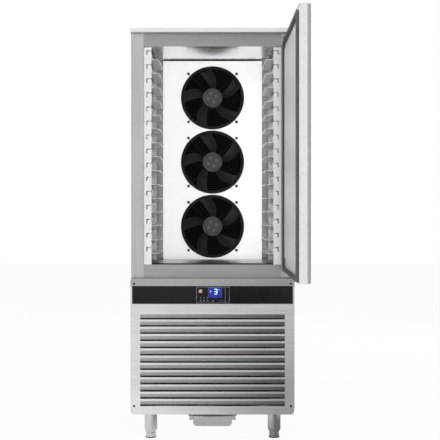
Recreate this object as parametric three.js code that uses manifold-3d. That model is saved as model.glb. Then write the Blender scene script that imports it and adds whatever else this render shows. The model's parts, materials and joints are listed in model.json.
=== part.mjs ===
// Reach-in blast chiller on four legs: an insulated cabinet with one door, fifteen pairs of tray
// runners and three evaporator fans, above a machine compartment with a louvred front.
// Millimetres, +Z up. The model is laid out with X across, Y = 0 at the door frame's face with the
// rear at +Y, and Z = 0 on the floor. The finished group is then moved along Y so that its origin is
// the bottom centre of the whole machine with the door standing open at a right angle.

import * as THREE from 'three';
import { mergeVertices } from 'three/addons/utils/BufferGeometryUtils.js';
import Module from 'manifold-3d';

// ---------- driving dimensions ----------

// general
const SHEET = 1.5; // sheet metal
const GAP = 0.3; // left between pieces that touch
const ROUND_STEPS = 24; // sides of a round piece

// body
const BODY_WIDTH = 780;
const BODY_DEPTH = 740; // door frame's face to rear sheet
const BASE_HEIGHT = 130; // floor to underside of the base
const MACHINE_HEIGHT = 646; // machine compartment, base to deck
const FLOOR_WALL = 64; // insulated walls around the chamber
const SIDE_WALL = 60.5;
const REAR_WALL = 61;
const ROOF_WALL = 50.5;
const CHAMBER_HEIGHT = 1057.5; // chamber floor to ceiling
const LIP_DROP = 12.5; // header lip below the ceiling
const LIP_DEPTH = 52;
const FLANGE_WIDTH = 20; // casing's front flange beside the machine compartment
const COVER_THICKNESS = 19.7;
const COVER_OVERHANG = 35; // in front of the door frame
const COVER_SIDE = 3;
const COVER_CORNER = 4;
const COVER_RETURN = 20; // cover's inward flange on the body

// chamber
const THRESHOLD_DEPTH = 72; // black threshold strip on the chamber floor
const THRESHOLD_THICKNESS = 2.7;
const THRESHOLD_SETBACK = 6;
const RUNNER_PITCH = 67.4;
const RUNNER_TOP_DROP = 63.5; // ceiling to the top runner's ledge
const RUNNER_FLOOR_GAP = 45; // least height of the lowest ledge over the floor
const RUNNER_THICKNESS = 2;
const RUNNER_WEB = 42; // ledge's top to the upper edge of the web
const LEDGE_WIDTH = 47;
const LEDGE_SETBACK = 52; // ledge's front end behind the upright
const LEDGE_CORNER = 24;
const UPRIGHT_SETBACK = 8; // front upright behind the door frame's face
const UPRIGHT_WIDTH = 36;
const UPRIGHT_DEPTH = 30;
const UPRIGHT_SIDE_GAP = 0.8; // upright to the side liner
const WEB_SIDE_GAP = 24.8; // runner's web to the side liner
const UPRIGHT_TOP_GAP = 3; // upright to the header lip
const RACK_REAR_GAP = 17; // rear upright to the fan panel
const HOOK_SLOT = 5;
const HOOK_DROP = 20;
const HOOK_RISE = 31.5; // ledge's top to the slot's centre
const HOOK_OUTSET = 12.5; // web to the slot's far side

// fan panel and fans
const PLENUM_DEPTH = 229; // fan panel's face to the rear liner
const PANEL_SIDE_GAP = 69;
const PANEL_TOP_GAP = 13;
const PANEL_RETURN = 24;
const PANEL_FOOT_HEIGHT = 40; // feet that carry the panel off the rear liner
const FAN_COUNT = 3;
const FAN_HUB_RADIUS = 52;
const FAN_HUB_DEPTH = 44;
const FAN_BLADES = 5;
const FAN_BLADE_DEPTH = 38;
const FAN_TIP_GAP = 7;
const FAN_COLLAR_DEPTH = 28;
const FAN_MOTOR_RADIUS = 46;
const FAN_MOTOR_DEPTH = 17;
const FAN_RUNNING_GAP = 1.5;
const SHAFT_RADIUS = 6;
const SHAFT_LENGTH = 28;
const BLADE_THICKNESS = 3;
const BLADE_SPAN = THREE.MathUtils.degToRad(54);
const BLADE_SWEEP = THREE.MathUtils.degToRad(16);
const BLADE_STEPS = 6;
const GUARD_TOP_MARGIN = 33.4; // top guard to the fan panel's upper edge
const GUARD_BOTTOM_MARGIN = 13.6;
const GUARD_SPACE = 16.8; // between two guards
const GUARD_OVERLAP = 10.6; // guard's rim beyond the impeller's tip
const GUARD_WIRE = 2.2;
const GUARD_RINGS = 5;
const GUARD_STEPS = 20; // straight runs in a ring
const GUARD_INNER_RADIUS = 56;
const GUARD_DOME = 15; // guard's middle stands this far in front of its rim
const GUARD_PLATE_RADIUS = 42;
const GUARD_PLATE_THICKNESS = 2.5;
const GUARD_ARM_WIDTH = 7;
const GUARD_BOLT_OUTSET = 18.4; // bolt beyond the guard's rim
const GUARD_TAB_RADIUS = 8;
const GUARD_TAB_THICKNESS = 3;

// evaporator
const COIL_SIDE_GAP = 24; // fins to the fan panel's flank
const COIL_DEPTH = 66;
const COIL_FLOOR_GAP = 60;
const COIL_TOP_GAP = 67.5;
const COIL_REAR_GAP = 20;
const COIL_END_PLATE = 4;
const COIL_PLATE_LIP = 4; // end plate in front of the fins
const COIL_PLATE_REACH = 10; // end plate above and below the fins
const COIL_BEND_INSET = 8; // return bends inside the fins' depth
const COIL_BEND_RADIUS = 12;
const COIL_BENDS = 6;

// door
const DOOR_THICKNESS = 46.5;
const DOOR_SIDE_INSET = 1.5; // door's edge inside the body's side
const DOOR_TOP_OVERLAP = 38; // over the header lip
const DOOR_BOTTOM_OVERLAP = 29; // below the chamber floor
const DOOR_STANDOFF = 12; // door's inner face in front of the frame when shut
const DOOR_LINER_RECESS = 2;
const DOOR_FIELD_INSET = 65; // raised field of the inner liner
const DOOR_FIELD_RISE = 6;
const DOOR_OPEN = THREE.MathUtils.degToRad(90);
const SEAL_GAP = 0.4; // shut gasket to the frame
const GASKET_WIDTH = 18;
const GASKET_INSET = 22; // from the door's sides and top
const GASKET_BOTTOM_INSET = 4;
const PIN_FROM_EDGE = 22.5;
const PIN_FROM_FRONT = 23;
const PIN_RADIUS = 5;
const PIN_LENGTH = 12; // inside the door
const PIN_POCKET = 6; // foam kept clear beyond the pin
const HINGE_PLATE = 4;
const HINGE_WASHER = 1.7;
const HINGE_WASHER_RADIUS = 9;
const HINGE_WIDTH = 44;
const HINGE_TOP_GAP = 3; // upper leaf to the top of the frame
const HINGE_LEAF_THICKNESS = 2.6;
const HINGE_NOSE = 14; // bracket beyond the pin
const HANDLE_WIDTH = 34;
const HANDLE_DEPTH = 14;
const HANDLE_FRONT_WALL = 2;
const HANDLE_GROOVE_WIDTH = 8;
const HANDLE_GROOVE_REACH = 16; // in from the door's edge

// front panel of the machine compartment
const PANEL_PROJECTION = 38;
const PANEL_SHEET = 1.2;
const PANEL_BOTTOM_LIFT = 24; // above the base's underside
const PANEL_CORNER = 8;
const LOUVRE_PITCH = 34.3;
const LOUVRE_SLOT = 23.3;
const LOUVRE_TOP_DROP = 171; // panel's top to the first slot
const LOUVRE_BOTTOM_LAND = 12; // least plain strip under the last slot
const LOUVRE_SIDE = 46.5; // slot's end to the panel's side
const LOUVRE_DEPTH = 20;
const LOUVRE_BLADE_GAP = 4; // left open under each blade
const FASCIA_THICKNESS = 3;
const FASCIA_HEIGHT = 84.6;
const FASCIA_SIDE = 8.5;
const FASCIA_TOP_DROP = 35.4;
const FASCIA_CORNER = 2;
const WINDOW_WIDTH = 66;
const WINDOW_HEIGHT = 50;
const WINDOW_X = 12;
const WINDOW_DROP = 5; // below the fascia's top edge
const WINDOW_PROUD = 0.4;
const KEY_SIZE = 20;
const KEY_X = -57;
const KEY_DROP = 14;
const KEY_PROUD = 0.5;
const KEY_TRAVEL = 0.6;
const SMALL_KEY_SIZE = 11;
const SMALL_KEY_DROP = 64;
const SMALL_KEY_X = -57; // first of a row of three
const SMALL_KEY_PITCH = 16.5;

// base, legs and drip tray
const BASE_SHEET = 3;
const BASE_SKIRT_INSET = 8; // skirt's end inside the body's side
const BASE_SKIRT_SETBACK = 2; // skirt behind the front panel's face
const LEG_SIDE_INSET = 91; // leg's axis from the body's side
const LEG_SETBACK = 62; // leg's axis from the frame's face and from the rear
const LEG_RADIUS = 31;
const LEG_NECK_RADIUS = 27.5;
const LEG_TAPER = 10;
const LEG_LENGTH = 98;
const LEG_BORE_RADIUS = 9;
const LEG_BORE_TOP_WALL = 6;
const FOOT_RADIUS = 26.5;
const FOOT_RING = 5;
const FOOT_RING_INSET = 2.5;
const FOOT_STEM_TOP_GAP = 4;
const CARRIER_THICKNESS = 8;
const CARRIER_REAR_REACH = 20; // beyond the tray
const CARRIER_SETBACK = 4;
const CARRIER_EDGE = 5; // beyond each rail
const RAIL_RIM_GAP = 5; // rail's web to the tray's rim
const RAIL_TRAY_GAP = 3.5; // rail's lip to the tray's side
const RAIL_HEIGHT = 26;
const RAIL_SHEET = 1.5;
const TRAY_HALF_WIDTH = 93.5;
const TRAY_HEIGHT = 48;
const TRAY_DEPTH = 300;
const TRAY_WALL = 2;
const TRAY_CORNER = 20;
const TRAY_TOP_GAP = 8; // below the carrier plate
const TRAY_RIM = 11;
const TRAY_PULL = 9;
const TRAY_PULL_THICKNESS = 3;

// refrigeration unit
const CONDENSER_WIDTH = 560;
const CONDENSER_HEIGHT = 440;
const CONDENSER_DEPTH = 60;
const CONDENSER_SETBACK = 24; // behind the frame's face
const CONDENSER_FOOT = 30;
const SHROUD_SHEET = 2;
const SHROUD_COLLAR = 22;
const COOLING_FAN_RADIUS = 170;
const COOLING_HUB_RADIUS = 40;
const COOLING_FAN_DEPTH = 40;
const COOLING_BLADE_DEPTH = 34;
const COOLING_BLADES = 4;
const COOLING_FAN_GAP = 8; // shroud's plate to the impeller
const COOLING_MOTOR_RADIUS = 42;
const COOLING_MOTOR_DEPTH = 70;
const BRACKET_WIDTH = 22;
const BRACKET_SHEET = 3;
const BRACKET_REACH = 14; // bracket's foot beyond the shroud's collar
const COMPRESSOR_X = 130;
const COMPRESSOR_REAR = 220; // axis from the rear
const COMPRESSOR_RADIUS = 105;
const COMPRESSOR_HEIGHT = 280;
const COMPRESSOR_FOOT_HEIGHT = 22;
const COMPRESSOR_FOOT_SPAN = 92;
const COMPRESSOR_FOOT_RADIUS = 14;
const COMPRESSOR_PLATE = 4;
const COMPRESSOR_DISH = 20; // height of the shell's lower dish
const RECEIVER_X = -120;
const RECEIVER_REAR = 180;
const RECEIVER_RADIUS = 55;
const RECEIVER_HEIGHT = 240;
const RECEIVER_FLANGE = 4;
const RECEIVER_FLANGE_REACH = 12;
const BOX_WIDTH = 120;
const BOX_DEPTH = 220;
const BOX_HEIGHT = 260;
const BOX_REAR = 230; // electrical box to the rear
const BOX_LIFT = 300; // above the base sheet
const BOX_CORNER = 6;
const PIPE_RADIUS = 8;
const PIPE_STEPS = 20;
const PIPE_RISE = 60; // pipe's crown above the compressor
const PIPE_BEND = 40; // size of the crown's bend
const PIPE_RUN = 160; // straight run behind the condenser
const PIPE_INSET = 40; // pipe's end inside the condenser's corner
const GRILLE_ROWS = 12;
const GRILLE_SLOT = 10;
const GRILLE_PITCH = 36;
const GRILLE_MARGIN = 60;
const GRILLE_LAND = 40; // plain strip between the two columns of slots

// ---------- places worked out from the sizes ----------

const bodySide = BODY_WIDTH / 2;
const baseTop = BASE_HEIGHT + BASE_SHEET;
const deckZ = BASE_HEIGHT + MACHINE_HEIGHT;
const floorZ = deckZ + FLOOR_WALL;
const ceilingZ = floorZ + CHAMBER_HEIGHT;
const lipZ = ceilingZ - LIP_DROP;
const bodyTop = ceilingZ + ROOF_WALL;
const chamberSide = bodySide - SIDE_WALL;
const linerOuter = chamberSide + SHEET;
const frameInner = chamberSide - GAP; // pieces that fit between the stiles or the side liners
const linerFrontY = SHEET + GAP; // liner sheets start behind the door frame
const linerBackY = BODY_DEPTH - REAR_WALL;
const innerSide = bodySide - SHEET - GAP; // pieces that fit between the casing's sides
const rearSheetY = BODY_DEPTH - SHEET;

const doorSide = bodySide - DOOR_SIDE_INSET;
const doorTop = lipZ + DOOR_TOP_OVERLAP;
const doorBottom = floorZ - DOOR_BOTTOM_OVERLAP;
const doorInnerY = -DOOR_STANDOFF;
const doorOuterY = doorInnerY - DOOR_THICKNESS;
const pinX = doorSide - PIN_FROM_EDGE;
const pinY = doorOuterY + PIN_FROM_FRONT;
const leafHeight = bodyTop - HINGE_TOP_GAP - (doorTop + GAP + HINGE_WASHER);

const webX = chamberSide - WEB_SIDE_GAP;
const uprightOuter = chamberSide - UPRIGHT_SIDE_GAP;
const uprightInner = uprightOuter - UPRIGHT_WIDTH;
const panelY = linerBackY - PLENUM_DEPTH;
const panelSide = chamberSide - PANEL_SIDE_GAP;
const panelTop = ceilingZ - PANEL_TOP_GAP;
const panelBottom = floorZ + GAP;

// guards fill the fan panel's height, and the impellers fit the guards
const guardHeights = panelTop - panelBottom - GUARD_TOP_MARGIN - GUARD_BOTTOM_MARGIN
  - (FAN_COUNT - 1) * GUARD_SPACE;
const guardRadius = guardHeights / FAN_COUNT / 2;
const boltRadius = guardRadius + GUARD_BOLT_OUTSET;
const fanRadius = guardRadius - GUARD_OVERLAP;
const fanPitch = 2 * guardRadius + GUARD_SPACE;
const lowestFanZ = panelBottom + GUARD_BOTTOM_MARGIN + guardRadius;

const frontPanelY = -PANEL_PROJECTION;
const frontPanelTop = deckZ;
const frontPanelBottom = BASE_HEIGHT + PANEL_BOTTOM_LIFT;
const fasciaBackY = frontPanelY - GAP;
const fasciaFrontY = fasciaBackY - FASCIA_THICKNESS;
const fasciaTop = frontPanelTop - FASCIA_TOP_DROP;

const carrierBottom = BASE_HEIGHT - GAP - CARRIER_THICKNESS;
const railBottom = carrierBottom - RAIL_HEIGHT;
const trayTop = carrierBottom - TRAY_TOP_GAP;
const railOuter = TRAY_HALF_WIDTH + TRAY_RIM + RAIL_RIM_GAP + RAIL_SHEET;

// open door's free edge and the rear sheet bound the machine along Y
const frontmostY = pinY - (2 * doorSide - PIN_FROM_EDGE);
const originShift = -(frontmostY + BODY_DEPTH) / 2;

// ---------- solids ----------

const wasm = await Module();
wasm.setup();

function solid(geometry) {
  const plain = geometry.index ? geometry.toNonIndexed() : geometry;
  plain.deleteAttribute('normal');
  plain.deleteAttribute('uv');
  const welded = mergeVertices(plain, 1e-4);
  return new wasm.Manifold(new wasm.Mesh({
    numProp: 3,
    vertProperties: new Float32Array(welded.attributes.position.array),
    triVerts: new Uint32Array(welded.index.array),
  }));
}

function joined(first, ...rest) {
  return rest.reduce((sum, next) => sum.add(next), first);
}

function cut(first, ...rest) {
  return rest.reduce((left, next) => left.subtract(next), first);
}

function box(x0, x1, y0, y1, z0, z1) {
  const shape = new THREE.BoxGeometry(x1 - x0, y1 - y0, z1 - z0);
  return solid(shape.translate((x0 + x1) / 2, (y0 + y1) / 2, (z0 + z1) / 2));
}

// round bar along Y, Z or X between two stations of its axis
function rod(axis, radius, from, to, [a, b], steps = ROUND_STEPS) {
  const shape = new THREE.CylinderGeometry(radius, radius, to - from, steps);
  shape.translate(0, (from + to) / 2, 0);
  if (axis === 'z') {
    return solid(shape.rotateX(Math.PI / 2).translate(a, b, 0));
  }
  if (axis === 'x') {
    return solid(shape.rotateZ(-Math.PI / 2).translate(0, a, b));
  }
  return solid(shape.translate(a, 0, b));
}

// body of revolution about a vertical axis, from [radius, height] points
function turned(points, [x, y], steps = ROUND_STEPS) {
  const profile = points.map(([radius, height]) => new THREE.Vector2(radius, height));
  return solid(new THREE.LatheGeometry(profile, steps).rotateX(Math.PI / 2).translate(x, y, 0));
}

function roundedOutline(x0, x1, y0, y1, radius) {
  const outline = new THREE.Shape();
  outline.absarc(x1 - radius, y0 + radius, radius, -Math.PI / 2, 0, false);
  outline.absarc(x1 - radius, y1 - radius, radius, 0, Math.PI / 2, false);
  outline.absarc(x0 + radius, y1 - radius, radius, Math.PI / 2, Math.PI, false);
  outline.absarc(x0 + radius, y0 + radius, radius, Math.PI, 1.5 * Math.PI, false);
  return outline;
}

function extruded(outline, depth, curveSegments = 4) {
  return new THREE.ExtrudeGeometry(outline, { depth, bevelEnabled: false, curveSegments });
}

// plate facing the front, with its outline in X and Z and its thickness along Y
function frontPlate(outline, y0, y1, curveSegments) {
  return solid(extruded(outline, y1 - y0, curveSegments).rotateX(Math.PI / 2).translate(0, y1, 0));
}

// outline in Y and Z, run along X
function acrossBar(points, x0, x1) {
  const outline = new THREE.Shape(points.map(([y, z]) => new THREE.Vector2(y, z)));
  const bar = extruded(outline, x1 - x0);
  return solid(bar.rotateX(Math.PI / 2).rotateZ(Math.PI / 2).translate(x0, 0, 0));
}

function turnedAboutY(shape, angle) {
  return shape.rotate([0, THREE.MathUtils.radToDeg(angle), 0]);
}

// ---------- scene ----------

const chiller = new THREE.Group();
chiller.position.y = originShift;

const door = new THREE.Group();
door.position.set(pinX, pinY, 0);
door.rotation.z = DOOR_OPEN;
chiller.add(door);

const finish = (color, roughness, metalness) => ({ color, roughness, metalness });
const STEEL = finish(0xb9bbbd, 0.35, 0.9);
const STEEL_FRONT = finish(0xc3c4c6, 0.32, 0.9);
const LINER = finish(0xe3e5e6, 0.4, 0.6);
const RACK = finish(0xe9ebec, 0.35, 0.7);
const FOAM = finish(0xe8dfc0, 0.9, 0);
const BLACK_PLASTIC = finish(0x1b1c1e, 0.5, 0);
const BLACK_WIRE = finish(0x141516, 0.45, 0.3);
const MOTOR_GREY = finish(0x45484b, 0.5, 0.4);
const GLASS_BLACK = finish(0x101214, 0.12, 0);
const DISPLAY = finish(0x1236a0, 0.15, 0);
const KEY = finish(0xd8b9a8, 0.5, 0);
const SMALL_KEY = finish(0x5a5f66, 0.5, 0);
const RUBBER = finish(0x55585b, 0.8, 0);
const RAIL_GREY = finish(0x8f9294, 0.4, 0.6);
const TRAY_PLASTIC = finish(0x9c9fa1, 0.55, 0);
const FIN = finish(0xb0b4b8, 0.4, 0.8);
const PAINTED = finish(0x2a2c2e, 0.5, 0.2);
const COPPER = finish(0xb87349, 0.35, 0.9);
const ZINC = finish(0xa9adb0, 0.45, 0.7);

function add(name, look, shape, parent = chiller) {
  const { vertProperties, triVerts } = shape.getMesh();
  const geometry = new THREE.BufferGeometry();
  geometry.setAttribute('position', new THREE.BufferAttribute(vertProperties, 3));
  geometry.setIndex(new THREE.BufferAttribute(triVerts, 1));
  geometry.computeVertexNormals();
  const mesh = new THREE.Mesh(geometry, new THREE.MeshStandardMaterial(look));
  mesh.name = name;
  parent.add(mesh);
}

const mirrored = (shape) => shape.mirror([1, 0, 0]);

// heights from the first one down, a pitch apart, as far as the lowest that is allowed
function downTo(lowest, first, pitch) {
  const count = Math.floor((first - lowest) / pitch) + 1;
  return Array.from({ length: count }, (_, index) => first - index * pitch);
}

// ---------- cabinet ----------

// side sheet with the stile beside the door opening and the flange beside the machine compartment
function casingSide() {
  const side = box(bodySide - SHEET, bodySide, 0, BODY_DEPTH, BASE_HEIGHT, bodyTop);
  const stile = box(chamberSide, bodySide, 0, SHEET, deckZ + SHEET + GAP, bodyTop - SHEET - GAP);
  const flange = box(bodySide - FLANGE_WIDTH, bodySide, 0, SHEET, baseTop + GAP, deckZ - GAP);
  return joined(side, stile, flange);
}

// folded sheet, hollow inside and open below where it stands on the body
function topCover() {
  const half = bodySide + COVER_SIDE;
  const z0 = bodyTop + GAP;
  const z1 = z0 + COVER_THICKNESS;
  const outline = roundedOutline(-half, half, -COVER_OVERHANG, BODY_DEPTH, COVER_CORNER);
  const slab = solid(extruded(outline, COVER_THICKNESS, 3).translate(0, 0, z0));
  const hollow = box(-half + SHEET, half - SHEET, -COVER_OVERHANG + SHEET, BODY_DEPTH - SHEET,
    z0 + SHEET, z1 - SHEET);
  const mouth = bodySide - COVER_RETURN;
  return cut(slab, hollow,
    box(-mouth, mouth, COVER_RETURN, BODY_DEPTH - COVER_RETURN, z0 - 1, z0 + SHEET + 1));
}

// header face and the sheet over the insulation
function bodyTopSheet() {
  const plate = box(-innerSide, innerSide, 0, rearSheetY - GAP, bodyTop - SHEET, bodyTop);
  return joined(plate, box(-frameInner, frameInner, 0, SHEET, lipZ, bodyTop));
}

// deck between machine compartment and chamber, with the rail below the door opening
function bodyDeck() {
  const plate = box(-innerSide, innerSide, 0, rearSheetY - GAP, deckZ, deckZ + SHEET);
  return joined(plate, box(-frameInner, frameInner, 0, SHEET, deckZ, floorZ));
}

function insulation() {
  const outer = box(-innerSide, innerSide, SHEET + GAP, rearSheetY - GAP,
    deckZ + SHEET + GAP, bodyTop - SHEET - GAP);
  const half = linerOuter + GAP;
  const underLip = box(-half, half, -1, LIP_DEPTH + GAP, floorZ - SHEET - GAP, lipZ + SHEET + GAP);
  const chamber = box(-half, half, LIP_DEPTH - SHEET - GAP, linerBackY + SHEET + GAP,
    floorZ - SHEET - GAP, ceilingZ + SHEET + GAP);
  return cut(outer, underLip, chamber);
}

// side sheet, lower at the front where the header lip passes
function linerSide() {
  return acrossBar([
    [linerFrontY, floorZ - SHEET], [linerBackY - GAP, floorZ - SHEET],
    [linerBackY - GAP, ceilingZ + SHEET], [LIP_DEPTH - SHEET, ceilingZ + SHEET],
    [LIP_DEPTH - SHEET, lipZ + SHEET], [linerFrontY, lipZ + SHEET],
  ], chamberSide, linerOuter);
}

// ceiling, with the step down to the header lip at the front
function linerCeiling() {
  return acrossBar([
    [linerFrontY, lipZ], [LIP_DEPTH, lipZ], [LIP_DEPTH, ceilingZ], [linerBackY - GAP, ceilingZ],
    [linerBackY - GAP, ceilingZ + SHEET], [LIP_DEPTH - SHEET, ceilingZ + SHEET],
    [LIP_DEPTH - SHEET, lipZ + SHEET], [linerFrontY, lipZ + SHEET],
  ], -frameInner, frameInner);
}

add('casing_left', STEEL, mirrored(casingSide()));
add('casing_right', STEEL, casingSide());
add('casing_back', STEEL,
  box(-innerSide, innerSide, rearSheetY, BODY_DEPTH, deckZ, bodyTop));
add('top_cover', STEEL_FRONT, topCover());
add('body_top', STEEL, bodyTopSheet());
add('body_deck', STEEL, bodyDeck());
add('cabinet_insulation', FOAM, insulation());
add('liner_left', LINER, mirrored(linerSide()));
add('liner_right', LINER, linerSide());
add('liner_back', LINER,
  box(-linerOuter, linerOuter, linerBackY, linerBackY + SHEET, floorZ - SHEET, ceilingZ + SHEET));
add('liner_ceiling', LINER, linerCeiling());
add('liner_floor', LINER, box(-frameInner, frameInner, linerFrontY, linerBackY - GAP,
  floorZ - SHEET, floorZ));
add('threshold_strip', BLACK_PLASTIC, box(-uprightInner + 1, uprightInner - 1, THRESHOLD_SETBACK,
  THRESHOLD_SETBACK + THRESHOLD_DEPTH, floorZ + GAP, floorZ + GAP + THRESHOLD_THICKNESS));

// ---------- tray racks ----------

// angle upright with its wide flange facing the front, notched where each runner hooks in
function upright(flangeY, webSide) {
  const z0 = floorZ + GAP;
  const z1 = lipZ - UPRIGHT_TOP_GAP;
  const flange = box(uprightInner, uprightOuter, flangeY, flangeY + RUNNER_THICKNESS, z0, z1);
  const [y0, y1] = webSide > 0 ? [flangeY, flangeY + UPRIGHT_DEPTH]
    : [flangeY + RUNNER_THICKNESS - UPRIGHT_DEPTH, flangeY + RUNNER_THICKNESS];
  return joined(flange, box(uprightOuter - RUNNER_THICKNESS, uprightOuter, y0, y1, z0, z1));
}

// the hook notch: a slot in from the flange's free edge, with a drop at its far end
function hookNotch(ledgeZ, flangeY) {
  const centre = ledgeZ + HOOK_RISE;
  const farX = webX + HOOK_OUTSET;
  const y0 = flangeY - 1;
  const y1 = flangeY + RUNNER_THICKNESS + 1;
  return joined(
    box(uprightInner - 1, farX, y0, y1, centre - HOOK_SLOT / 2, centre + HOOK_SLOT / 2),
    box(farX - HOOK_SLOT, farX, y0, y1, centre - HOOK_DROP, centre),
  );
}

// angle runner: an upright web and the ledge that a tray's edge slides on
function runner(ledgeZ, y0, y1) {
  const web = box(webX - RUNNER_THICKNESS, webX, y0, y1, ledgeZ - RUNNER_THICKNESS, ledgeZ + RUNNER_WEB);
  const ledge = new THREE.Shape();
  const tip = webX - LEDGE_WIDTH;
  const front = y0 + LEDGE_SETBACK;
  ledge.moveTo(webX, front);
  ledge.lineTo(webX, y1);
  ledge.lineTo(tip, y1);
  ledge.absarc(tip + LEDGE_CORNER, front + LEDGE_CORNER, LEDGE_CORNER, Math.PI, 1.5 * Math.PI, false);
  const plate = extruded(ledge, RUNNER_THICKNESS, 2).translate(0, 0, ledgeZ - RUNNER_THICKNESS);
  return joined(web, solid(plate));
}

function rack() {
  const frontY = UPRIGHT_SETBACK;
  const rearY = panelY - RACK_REAR_GAP - RUNNER_THICKNESS;
  const levels = downTo(floorZ + RUNNER_FLOOR_GAP, ceilingZ - RUNNER_TOP_DROP, RUNNER_PITCH);
  const notches = levels.map((ledgeZ) => hookNotch(ledgeZ, frontY));
  const posts = joined(cut(upright(frontY, 1), ...notches), upright(rearY, -1));
  const inset = RUNNER_THICKNESS / 2;
  return joined(posts, ...levels.map((ledgeZ) => runner(ledgeZ, frontY + inset, rearY + inset)));
}

add('rack_left', RACK, mirrored(rack()));
add('rack_right', RACK, rack());

// ---------- fan panel, fans and evaporator ----------

const fanPlaces = Array.from({ length: FAN_COUNT }, (_, index) =>
  lowestFanZ + (FAN_COUNT - 1 - index) * fanPitch);
const fanNames = ['top', 'middle', 'bottom'];

function fanPanel() {
  const holeRadius = fanRadius + FAN_TIP_GAP;
  const y0 = panelY;
  const z0 = panelBottom;
  const side = box(panelSide - SHEET, panelSide, y0, y0 + PANEL_RETURN, z0, panelTop);
  const feet = [z0, panelTop - PANEL_FOOT_HEIGHT].map((z) =>
    box(panelSide - SHEET, panelSide, y0, linerBackY - GAP, z, z + PANEL_FOOT_HEIGHT));
  const flanks = joined(side, ...feet);
  const plate = joined(box(-panelSide, panelSide, y0, y0 + SHEET, z0, panelTop), flanks, mirrored(flanks));
  const collars = fanPlaces.map((z) =>
    rod('y', holeRadius + SHEET, y0, y0 + FAN_COLLAR_DEPTH, [0, z]));
  const holes = fanPlaces.map((z) =>
    rod('y', holeRadius, y0 - 1, y0 + FAN_COLLAR_DEPTH + 1, [0, z]));
  return cut(joined(plate, ...collars), ...holes);
}

// wire guard: rings on a shallow dome, four arms with bolt tabs, and a plate for the motor
function fanGuard() {
  const backY = panelY - GAP;
  const rimY = backY - GUARD_WIRE;
  const fall = (radius) => Math.max(radius - GUARD_INNER_RADIUS, 0) / (guardRadius - GUARD_INNER_RADIUS);
  const domeY = (radius) => rimY - GUARD_DOME * (1 - fall(radius) ** 2);
  const rings = Array.from({ length: GUARD_RINGS }, (_, index) => {
    const radius = THREE.MathUtils.lerp(GUARD_INNER_RADIUS, guardRadius, index / (GUARD_RINGS - 1));
    const ring = new THREE.TorusGeometry(radius, GUARD_WIRE, 4, GUARD_STEPS);
    return solid(ring.rotateX(Math.PI / 2).translate(0, domeY(radius), 0));
  });
  const stations = [0, ...[0, 0.5, 1].map((share) =>
    THREE.MathUtils.lerp(GUARD_INNER_RADIUS, guardRadius, share))];
  const arm = new THREE.Shape([
    ...stations.map((radius) => new THREE.Vector2(radius, domeY(radius) - GUARD_WIRE / 2)),
    new THREE.Vector2(boltRadius, backY - GUARD_TAB_THICKNESS),
    new THREE.Vector2(boltRadius, backY),
    ...stations.reverse().map((radius) => new THREE.Vector2(radius, domeY(radius) + GUARD_WIRE)),
  ]);
  const bar = extruded(arm, GUARD_ARM_WIDTH).translate(0, 0, -GUARD_ARM_WIDTH / 2);
  const tab = rod('y', GUARD_TAB_RADIUS, backY - GUARD_TAB_THICKNESS, backY, [boltRadius, 0], 10);
  const spoke = joined(solid(bar), tab);
  const arms = [1, 3, 5, 7].map((eighth) => turnedAboutY(spoke, eighth * Math.PI / 4));
  const plateY = domeY(0) - GUARD_PLATE_THICKNESS;
  const plate = rod('y', GUARD_PLATE_RADIUS, plateY, domeY(0) + GUARD_WIRE, [0, 0]);
  return joined(plate, ...rings, ...arms);
}

const guardPlateY = panelY - GAP - GUARD_DOME;
const fanMotorY = guardPlateY + GAP;
const fanHubY = fanMotorY + FAN_MOTOR_DEPTH + FAN_RUNNING_GAP;

// motor disc with the shaft that carries an impeller; its face is at y = 0
function motor(radius, depth, shaftLength) {
  return joined(rod('y', radius, 0, depth, [0, 0]),
    rod('y', SHAFT_RADIUS, depth - 1, depth + shaftLength, [0, 0], 12));
}

// impeller about the Y axis from y = 0 to its depth, with helical blades and a bore for the shaft
function impeller(radius, hubRadius, depth, bladeDepth, bladeCount) {
  const lead = bladeDepth / BLADE_SPAN;
  const root = hubRadius - 4;
  const at = (distance, angle) => new THREE.Vector2(distance * Math.cos(angle), distance * Math.sin(angle));
  const edge = Array.from({ length: BLADE_STEPS + 1 }, (_, step) => step / BLADE_STEPS);
  const outline = new THREE.Shape([
    ...edge.map((share) => at(root, share * BLADE_SPAN)),
    ...edge.map((share) => at(radius, (1 - share) * BLADE_SPAN + BLADE_SWEEP)),
  ]);
  const blade = extruded(outline, BLADE_THICKNESS);
  const points = blade.attributes.position;
  for (let index = 0; index < points.count; index += 1) {
    const x = points.getX(index);
    const y = points.getY(index);
    const sweep = BLADE_SWEEP * (Math.hypot(x, y) - root) / (radius - root);
    points.setZ(index, points.getZ(index) + lead * (Math.atan2(y, x) - sweep));
  }
  blade.rotateX(-Math.PI / 2).translate(0, (depth - bladeDepth - BLADE_THICKNESS) / 2, 0);
  const vane = solid(blade);
  const vanes = Array.from({ length: bladeCount }, (_, index) =>
    turnedAboutY(vane, index * 2 * Math.PI / bladeCount));
  return cut(joined(rod('y', hubRadius, 0, depth, [0, 0]), ...vanes),
    rod('y', SHAFT_RADIUS + GAP, -1, SHAFT_LENGTH + FAN_RUNNING_GAP + GAP, [0, 0], 12));
}

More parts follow.
